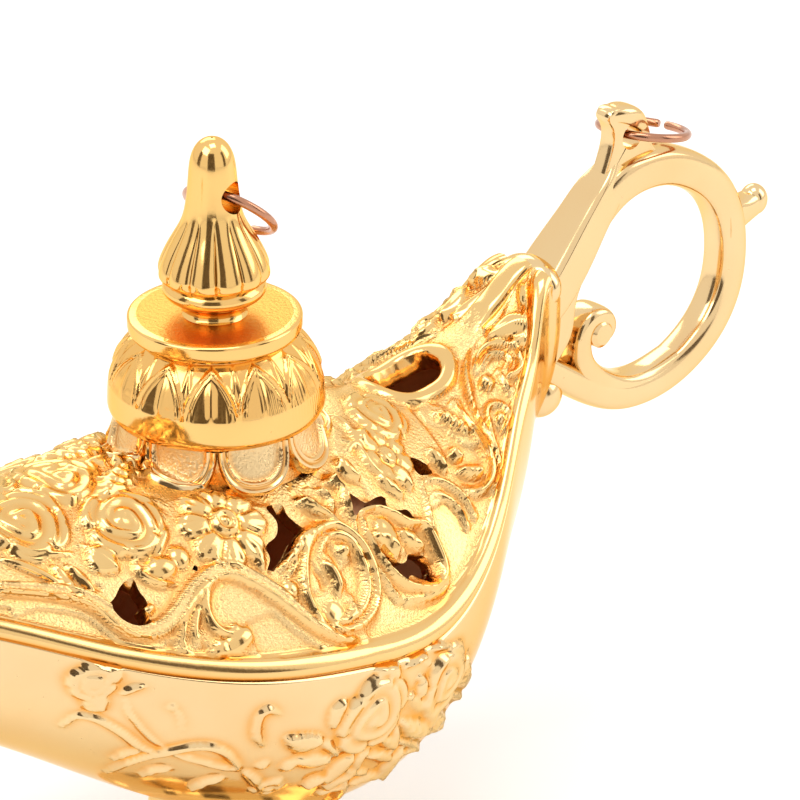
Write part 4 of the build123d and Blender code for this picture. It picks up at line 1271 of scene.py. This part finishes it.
inner_line = [(axis_gap, roof), (inside_radius - skirt_wall, roof), (inside_radius, roof - skirt_wall),
              (inside_radius, -skirt_drop), (skirt_radius - skirt_chamfer, -skirt_drop),
              (skirt_radius, skirt_chamfer - skirt_drop), (skirt_radius, 0.02), (lid_radius * 0.94, 0.0)]
under_disc = [(disc_seat, disc_low - 0.32), (disc_seat, disc_low)]
disc_top.append((axis_gap, lid_height))
lid_profile = np.array(list(belly) + under_disc + disc_edge + disc_top + inner_line)


def lid_relief(angle, radius, height):
    """Lancet petals and the faint flutes under them, as changes to the radius."""
    pitch = 2 * math.pi / lancet_count
    off = (angle - lancet_turn + pitch / 2) % pitch - pitch / 2
    number = np.floor((angle - lancet_turn + pitch / 2) / pitch)
    share = held((height - lancet_low) / (lancet_high - lancet_low))
    half = pitch * 0.53 * held(1 - share ** 2.4) ** 0.85
    inward = (half - np.abs(off)) * radius
    lancet = (0.22 * hump(inward - 0.24, 0.17) + 0.12 * hump(inward - 0.85, 0.13)
              - 0.13 * held((inward - 0.38) / 0.25) + 0.16 * hump(off * radius, 0.40) * (inward > 0.4))
    behind = 0.12 * hump(np.abs(np.abs(off) - pitch / 2) * radius - 0.9 * (1 - share), 0.16) - 0.10
    petals = np.where(inward > 0, lancet, behind) * held(share * 7) * held((disc_low - 0.3 - height) / 0.3)
    toward = (angle - math.radians(228 + 48) + np.pi) % (2 * np.pi) - np.pi
    flutes = 0.035 * np.cos(angle * 150 + number) * hump(toward, 0.55) * hump(height - 3.6, 1.7)
    on_belly = (radius > disc_seat + 0.05) & (height > 0.05) & (height < disc_low - 0.25)
    return radius + np.where(on_belly, petals + flutes, 0), height + seat_height


lid_points, lid_faces = turned(lid_profile, 600, lid_relief)
from_axis = np.hypot(lid_points[:, 0], lid_points[:, 1])
over_seat = lid_points[:, 2] - seat_height
on_disc = (from_axis < disc_radius - under_round) & (over_seat > lid_height - 0.1)
in_band = (from_axis > disc_seat + 0.1) & (over_seat > lancet_low) & (over_seat < disc_low)
# The band of lancet petals under the disc is darkened with painted shade
disc_satin, band_shade = 0.3, 0.2
lid_gold = gold("lid_gold", rich_gold, ripple=1.0)
# The disc's top is a darker brown-orange gold, a painted reflection of the finial and of dark surroundings
# above
disc_reflection_gold = gold("disc_reflection_gold", (0.74, 0.31, 0.065), polish=0.20, ripple=1.6)
lid_slots = [int(on_disc[face].all()) for face in lid_faces]
lid_dome = new_piece("lid_dome", lid_points, lid_faces, [lid_gold, disc_reflection_gold], lid_slots,
                     on_disc * disc_satin, in_band * band_shade, sharp=42, body="lid")
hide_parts("lid")

# Finial
# A separate little casting screwed to the disc: a turned foot, a bell of twelve flutes and a
# smooth bullet tip with a cross hole for the jump ring.
finial_base = seat_height + lid_height
finial_height, finial_radius = 18.5, 5.6
flute_count, flute_depth, skirt_depth = 12, 0.62, 0.25
FOOT_SHARES = [(0.58, 0.0), (0.53, 0.02), (0.53, 0.045), (0.61, 0.07), (0.76, 0.095), (0.89, 0.127),
               (0.91, 0.16), (0.85, 0.19)]
BELL_SHARES = [(0.85, 0.19), (0.99, 0.235), (0.985, 0.27), (0.93, 0.32), (0.82, 0.39), (0.69, 0.46),
               (0.57, 0.53), (0.50, 0.605), (0.462, 0.68), (0.435, 0.76), (0.415, 0.83), (0.35, 0.92),
               (0.23, 0.975), (0.10, 0.997), (0.02, 1.0)]
foot_line, bell_line = (resampled([(finial_radius * out, finial_height * high) for out, high in shares], 0.14)
                        for shares in (FOOT_SHARES, BELL_SHARES))
finial_profile = np.concatenate((foot_line, bell_line[1:], [(0.01, 0.4), (0.01, 0.0)]))
flute_turn = math.radians(228 + 2)


def fluted(angle, radius, height):
    """Flutes of the finial's bell, which end in a scalloped skirt, as changes to the radius."""
    share = height / finial_height
    depth = flute_depth * held((share - 0.19) / 0.05) * held((0.60 - share) / 0.26) ** 0.8
    between = 1 - np.abs(np.sin((angle - flute_turn) * flute_count / 2)) ** 0.30
    skirt = held((share - 0.185) / 0.02) * (share < 0.26)
    return radius - (depth * (radius > 0.5) + skirt_depth * skirt) * between, height + finial_base


finial_points, finial_faces = turned(finial_profile, 480, fluted)
finial_gold = gold("finial_gold", rich_gold, ripple=1.0)
finial_body = new_piece("finial_body", finial_points, finial_faces, [finial_gold], sharp=50, body="lid")
hole_turn = math.radians(15.0)
hole_height = finial_base + 12.7
hole_radius, hole_length, hole_sides = 1.6, 14.0, 48
drill = bpy.data.objects.new("drill", bpy.data.meshes.new("drill"))
bpy.context.scene.collection.objects.link(drill)
drill_shape = bmesh.new()
bmesh.ops.create_cone(drill_shape, cap_ends=True, segments=hole_sides, radius1=hole_radius * MM,
                      radius2=hole_radius * MM, depth=hole_length * MM)
drill_shape.to_mesh(drill.data)
drill_shape.free()
drill.matrix_world = (Matrix.Translation((0, 0, hole_height * MM)) @ Matrix.Rotation(hole_turn, 4, "Z")
                      @ Matrix.Rotation(math.pi / 2, 4, "X"))
cut = finial_body.modifiers.new("cross_hole", "BOOLEAN")
cut.object = drill
cut.solver = "EXACT"
bpy.context.view_layer.update()
bored = bpy.data.meshes.new_from_object(finial_body.evaluated_get(bpy.context.evaluated_depsgraph_get()))
finial_body.modifiers.clear()
finial_body.data = bored
bpy.data.objects.remove(drill)
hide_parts("finial")

# Jump rings
# Two open rings of rose gold plated wire, one through the finial's hole and one through the
# handle's. They swing freely, and lean on what they hang beside.
ring_wire, ring_radius, ring_set = 0.45, 4.55, 4.3
ring_gap = math.radians(9.0)
ring_sides, ring_places = 20, 160
# Both ends of the wire are cut square, with a small rounded edge
END_SHARES = (0.80, 0.95)

rose_wire = Finish(bpy.data.materials.new("rose_gold_wire"))
wire_cloud = rose_wire.noise(scale=500.0, detail=3.0)
rose_gold = rose_wire.coat(rose_wire.mixed(wire_cloud, (0.62, 0.30, 0.17), (0.46, 0.22, 0.14)),
                           wire_cloud * 0.14 + 0.12, rose_wire.noise(scale=2600.0, detail=2.0), depth=0.00002,
                           strength=0.4)


def jump_ring(name, turn, dip, centre, body):
    """An open wire ring through a hole at centre, dipping away from it."""
    placing = (Matrix.Translation(centre) @ Matrix.Rotation(math.radians(turn), 4, "Z")
               @ Matrix.Rotation(math.radians(dip), 4, "Y") @ Matrix.Translation((ring_set, 0, 0)))
    points = []
    for k, way in enumerate(np.linspace(ring_gap / 2, 2 * math.pi - ring_gap / 2, ring_places + 1)):
        from_end = min(k, ring_places - k)
        thick = ring_wire * (END_SHARES[from_end] if from_end < len(END_SHARES) else 1.0)
        for side in np.linspace(0, 2 * math.pi, ring_sides, endpoint=False):
            far, rise = ring_radius + thick * math.cos(side), thick * math.sin(side)
            points.append(placing @ Vector((far * math.cos(way), far * math.sin(way), rise)))
    first_end = list(range(ring_sides))[::-1]
    last_end = [ring_places * ring_sides + side for side in range(ring_sides)]
    faces = tube_faces(ring_places + 1, ring_sides) + [first_end, last_end]
    return new_piece(name, [tuple(point) for point in points], faces, [rose_gold], sharp=40, body=body)


thumb_hole = (56.5, 0, 63.9)
finial_ring_piece = jump_ring("finial_jump_ring", 15.0, 45.0, (0, 0, hole_height), "finial_ring")
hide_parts("finial_ring")
handle_ring_piece = jump_ring("handle_jump_ring", 18.0, 15.0, thumb_hole, "handle_ring")
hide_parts("handle_ring")

# Scroll handle
# One casting: a faceted stem out of the stern, a hoop with a knob, an inner scroll, a branch back
# to the stern and a pierced thumb-piece. Two screws from inside the bowl hold it.
handle_reach = 32.0
stem_root = (stern_reach, 0.935 * seat_height)
HANDLE_BARS = {
    # name: (centre line, widths across the lamp, depths in its plane, how faceted along it, step).
    # A centre line is in shares of the handle's reach, from the stem's root.
    "stem_and_hoop": ([(-0.140, -0.044), (-0.031, 0.064), (0.080, 0.164), (0.158, 0.236), (0.238, 0.298),
                       (0.320, 0.330), (0.412, 0.336), (0.505, 0.318), (0.606, 0.270), (0.714, 0.178),
                       (0.774, 0.067), (0.792, -0.060), (0.772, -0.185), (0.714, -0.286), (0.620, -0.363),
                       (0.510, -0.410), (0.385, -0.426), (0.270, -0.410), (0.160, -0.360), (0.044, -0.283),
                       (-0.062, -0.205)],
                      (3.6, 3.7, 4.0, 4.0, 4.0, 4.0, 4.0, 4.0, 3.8),
                      (3.6, 3.8, 4.2, 4.1, 3.8, 3.8, 3.7, 3.4, 3.0),
                      (0.6, 0.5, 0.3, 0.0, 0.0, 0.0, 0.0, 0.0, 0.0), 0.3),
    "stem": ([(-0.140, -0.044), (-0.031, 0.062), (0.050, 0.142), (0.140, 0.236), (0.205, 0.302),
              (0.252, 0.350), (0.285, 0.400)],
             (4.4, 5.5, 5.5, 5.0, 4.4, 3.8, 2.0), (4.0, 4.4, 4.5, 4.3, 3.9, 3.5, 2.2), (1.0, 1.0), 0.3),
    "strap": ([(0.060, 0.130), (0.018, 0.050), (0.002, -0.020), (-0.010, -0.095), (-0.060, -0.170),
               (-0.110, -0.230)],
              (4.6, 4.5, 4.3, 4.1, 3.8, 3.4), (3.6, 3.4, 3.2, 3.2, 2.6, 2.2), (1.0, 1.0), 0.3),
    "scroll": ([(0.540, -0.385), (0.406, -0.405), (0.290, -0.388), (0.206, -0.344), (0.130, -0.275),
                (0.100, -0.200), (0.134, -0.108), (0.200, -0.112), (0.216, -0.150), (0.181, -0.180)],
               (3.6, 3.8, 4.0, 4.0), (3.0, 2.8, 2.6, 1.8), (0.0, 0.2), 0.2),
    "knob_neck": ([(0.755, 0.045), (0.815, 0.048), (0.875, 0.052), (0.922, 0.060)], (4.0, 3.5, 3.0, 2.6),
                  (6.0, 4.2, 3.0, 2.6), (0.0, 0.0), 0.2),
    "thumb_cap": ([(0.232, 0.565), (0.290, 0.560), (0.350, 0.532), (0.396, 0.478)], (1.9, 2.9, 2.9, 2.0),
                  (1.2, 2.0, 2.1, 1.2), (0.0, 0.0), 0.15),
}


def handle_spot(share):
    return (stem_root[0] + share[0] * handle_reach, stem_root[1] + share[1] * handle_reach)


facet_cut = 0.18
soft_square = 3.0
corner_turns = np.degrees([math.atan(1 - facet_cut), math.atan(1 / (1 - facet_cut))])
quarter = np.sort(np.concatenate(((0, 13, 26, 45, 64, 77), corner_turns, corner_turns - 1.2,
                                  corner_turns + 1.2)))
section_turns = np.radians(np.concatenate([quarter + 90 * k for k in range(4)]))


def bar_section(faceted):
    """A section of half size 1, from a rounded square (0) to a square with chamfered corners (1)."""
    across, high = np.abs(np.cos(section_turns)), np.abs(np.sin(section_turns))
    rounded = (across ** soft_square + high ** soft_square) ** (-1 / soft_square)
    flats = np.minimum(1 / np.maximum(across, high), (2 - facet_cut) / (across + high))
    at_corner = np.isin(np.round(np.degrees(section_turns) % 90, 3), np.round(corner_turns, 3))
    reach = rounded * (1 - faceted) + flats * (1 - 0.01 * at_corner) * faceted
    return np.stack((reach * np.cos(section_turns), reach * np.sin(section_turns)), 1)


def bar(shares, widths, depths, facets, step):
    """A bar of the handle, drawn along a line in the lamp's middle plane. Its widths, depths and
    facets are spread evenly along it."""
    line = resampled([handle_spot(share) for share in shares], step)
    way = np.gradient(line, axis=0)
    way /= np.linalg.norm(way, axis=1, keepdims=True)
    share = np.linspace(0, 1, len(line))
    width = smooth_line(np.linspace(0, 1, len(widths)), widths)(share)
    depth = smooth_line(np.linspace(0, 1, len(depths)), depths)(share)
    faceted = np.interp(share, np.linspace(0, 1, len(facets)), facets)
    rings = []
    for k, spot in enumerate(line):
        across, out = (bar_section(faceted[k]) * (width[k] / 2, depth[k] / 2)).T
        rings.append(np.stack((spot[0] - way[k, 1] * out, across, spot[1] + way[k, 0] * out), 1))
    sides = len(section_turns)
    last = (len(line) - 1) * sides
    ends = [list(range(sides))[::-1], [last + side for side in range(sides)]]
    return np.concatenate(rings), tube_faces(len(line), sides) + ends


def ball(spot, radius, stretch=(1, 1, 1), rings=20, sides=32):
    """A smooth ball in the lamp's middle plane, in millimetres."""
    tilt, turn = np.meshgrid(np.pi * np.arange(1, rings) / rings, 2 * np.pi * np.arange(sides) / sides,
                             indexing="ij")
    unit = np.stack((np.sin(tilt) * np.cos(turn), np.sin(tilt) * np.sin(turn), np.cos(tilt)), 2)
    unit = unit.reshape(-1, 3)
    points = np.concatenate((unit, [(0, 0, 1), (0, 0, -1)]))
    top = len(unit)
    last = top - sides
    faces = tube_faces(rings - 1, sides)
    for side in range(sides):
        beside = (side + 1) % sides
        faces += [[top, beside, side], [top + 1, last + side, last + beside]]
    return points * radius * np.array(stretch) + (spot[0], 0, spot[1]), faces


def plate(outline, thick, bevel, centre, radius):
    """A plate cut to an outline in the lamp's middle plane, with rounded edges and a round hole."""
    line = np.array(outline)
    count = len(line)
    way = np.roll(line, -1, 0) - np.roll(line, 1, 0)
    way /= np.linalg.norm(way, axis=1, keepdims=True)
    inward = np.stack((-way[:, 1], way[:, 0]), 1)
    inward *= np.sign(((line.mean(0) - line) * inward).sum(1).mean())
    start = math.atan2(line[0, 1] - centre[1], line[0, 0] - centre[0])
    way_round = np.sign(np.cross(line[0] - centre, line[1] - centre))
    angles = start + way_round * np.linspace(0, 2 * np.pi, count, endpoint=False)
    bore = np.stack((centre[0] + radius * np.cos(angles), centre[1] + radius * np.sin(angles)), 1)
    half = thick / 2
    # From one face over the edge to the other, and back through the hole
    loops = [(line + inward * inset, depth) for depth, inset in (
        (-half, bevel), (-half + bevel * 0.3, bevel * 0.3), (-half + bevel, 0),
        (half - bevel, 0), (half - bevel * 0.3, bevel * 0.3), (half, bevel))] + [(bore, half), (bore, -half)]
    points = [np.stack((loop[:, 0], np.full(count, depth), loop[:, 1]), 1) for loop, depth in loops]
    return np.concatenate(points), tube_faces(len(loops), count, closed=True)


THUMB_SHARES = [(0.190, 0.325), (0.228, 0.415), (0.248, 0.478), (0.242, 0.530), (0.226, 0.562),
                (0.240, 0.588), (0.285, 0.586), (0.345, 0.562), (0.390, 0.520), (0.412, 0.470),
                (0.425, 0.420), (0.455, 0.370), (0.400, 0.325), (0.290, 0.310)]
thumb_thick, thumb_edge, thumb_bore = 2.2, 0.35, 1.4
thumb_loop = resampled([handle_spot(share) for share in THUMB_SHARES + THUMB_SHARES[:1]], 0.22)[:-1]
HANDLE_BALLS = [
    # place in the lamp's middle plane, radius, and stretch along, across and up
    (handle_spot((0.922, 0.064)), 1.55, (0.95, 0.95, 1.1)),
    ((43.0, 51.7), 1.0, (2.2, 4.0, 2.8)),
    (handle_spot((-0.048, -0.316)), 2.4, (1.05, 0.85, 1.0)),
]
# The eye of the inner scroll is a little drum across the lamp
scroll_eye = handle_spot((0.175, -0.157))
EYE_PROFILE = [(0.01, -2.2), (1.1, -2.15), (1.5, -1.8), (1.5, 1.8), (1.1, 2.15), (0.01, 2.2)]
drum, drum_faces = turned(EYE_PROFILE, 40)
drum = np.stack((drum[:, 0] + scroll_eye[0], drum[:, 2], drum[:, 1] + scroll_eye[1]), 1)
thumb = plate(thumb_loop, thumb_thick, thumb_edge, (thumb_hole[0], thumb_hole[2]), thumb_bore)
bars, balls = [bar(*sizes) for sizes in HANDLE_BARS.values()], [ball(*sizes) for sizes in HANDLE_BALLS]
points, faces = joined(bars + balls + [thumb, (drum, drum_faces)])
handle_casting = new_piece("handle_casting", points, faces, [gold("handle_gold", ripple=0.7)], sharp=38)
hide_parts("handle")

# Foot
# A separate flared round foot, cast and plated, that the bowl's boss stands in. It is out of the
# photograph and follows lamps of this kind.
foot_gold = gold("foot_gold", ripple=0.7)
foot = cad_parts["foot"]
foot.data.materials.clear()
foot.data.materials.append(foot_gold)

# Screws
# Zinc plated steel, with pan heads and hexagon sockets. One holds the foot from below, two hold the
# handle from inside the bowl, and one holds the finial from inside the lid.
zinc = Finish(bpy.data.materials.new("screw_zinc"))
zinc_cloud = zinc.noise(scale=900.0, detail=4.0)
screw_zinc = zinc.coat(zinc.mixed(zinc_cloud, (0.62, 0.62, 0.60), (0.48, 0.48, 0.47)),
                       zinc_cloud * 0.2 + 0.25, zinc_cloud, depth=0.00003, strength=0.3)
for node in ("foot_screw", "handle_screws", "finial_screw"):
    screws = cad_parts[node]
    screws.data.materials.clear()
    screws.data.materials.append(screw_zinc)

bpy.context.scene.view_settings.view_transform = "Standard"
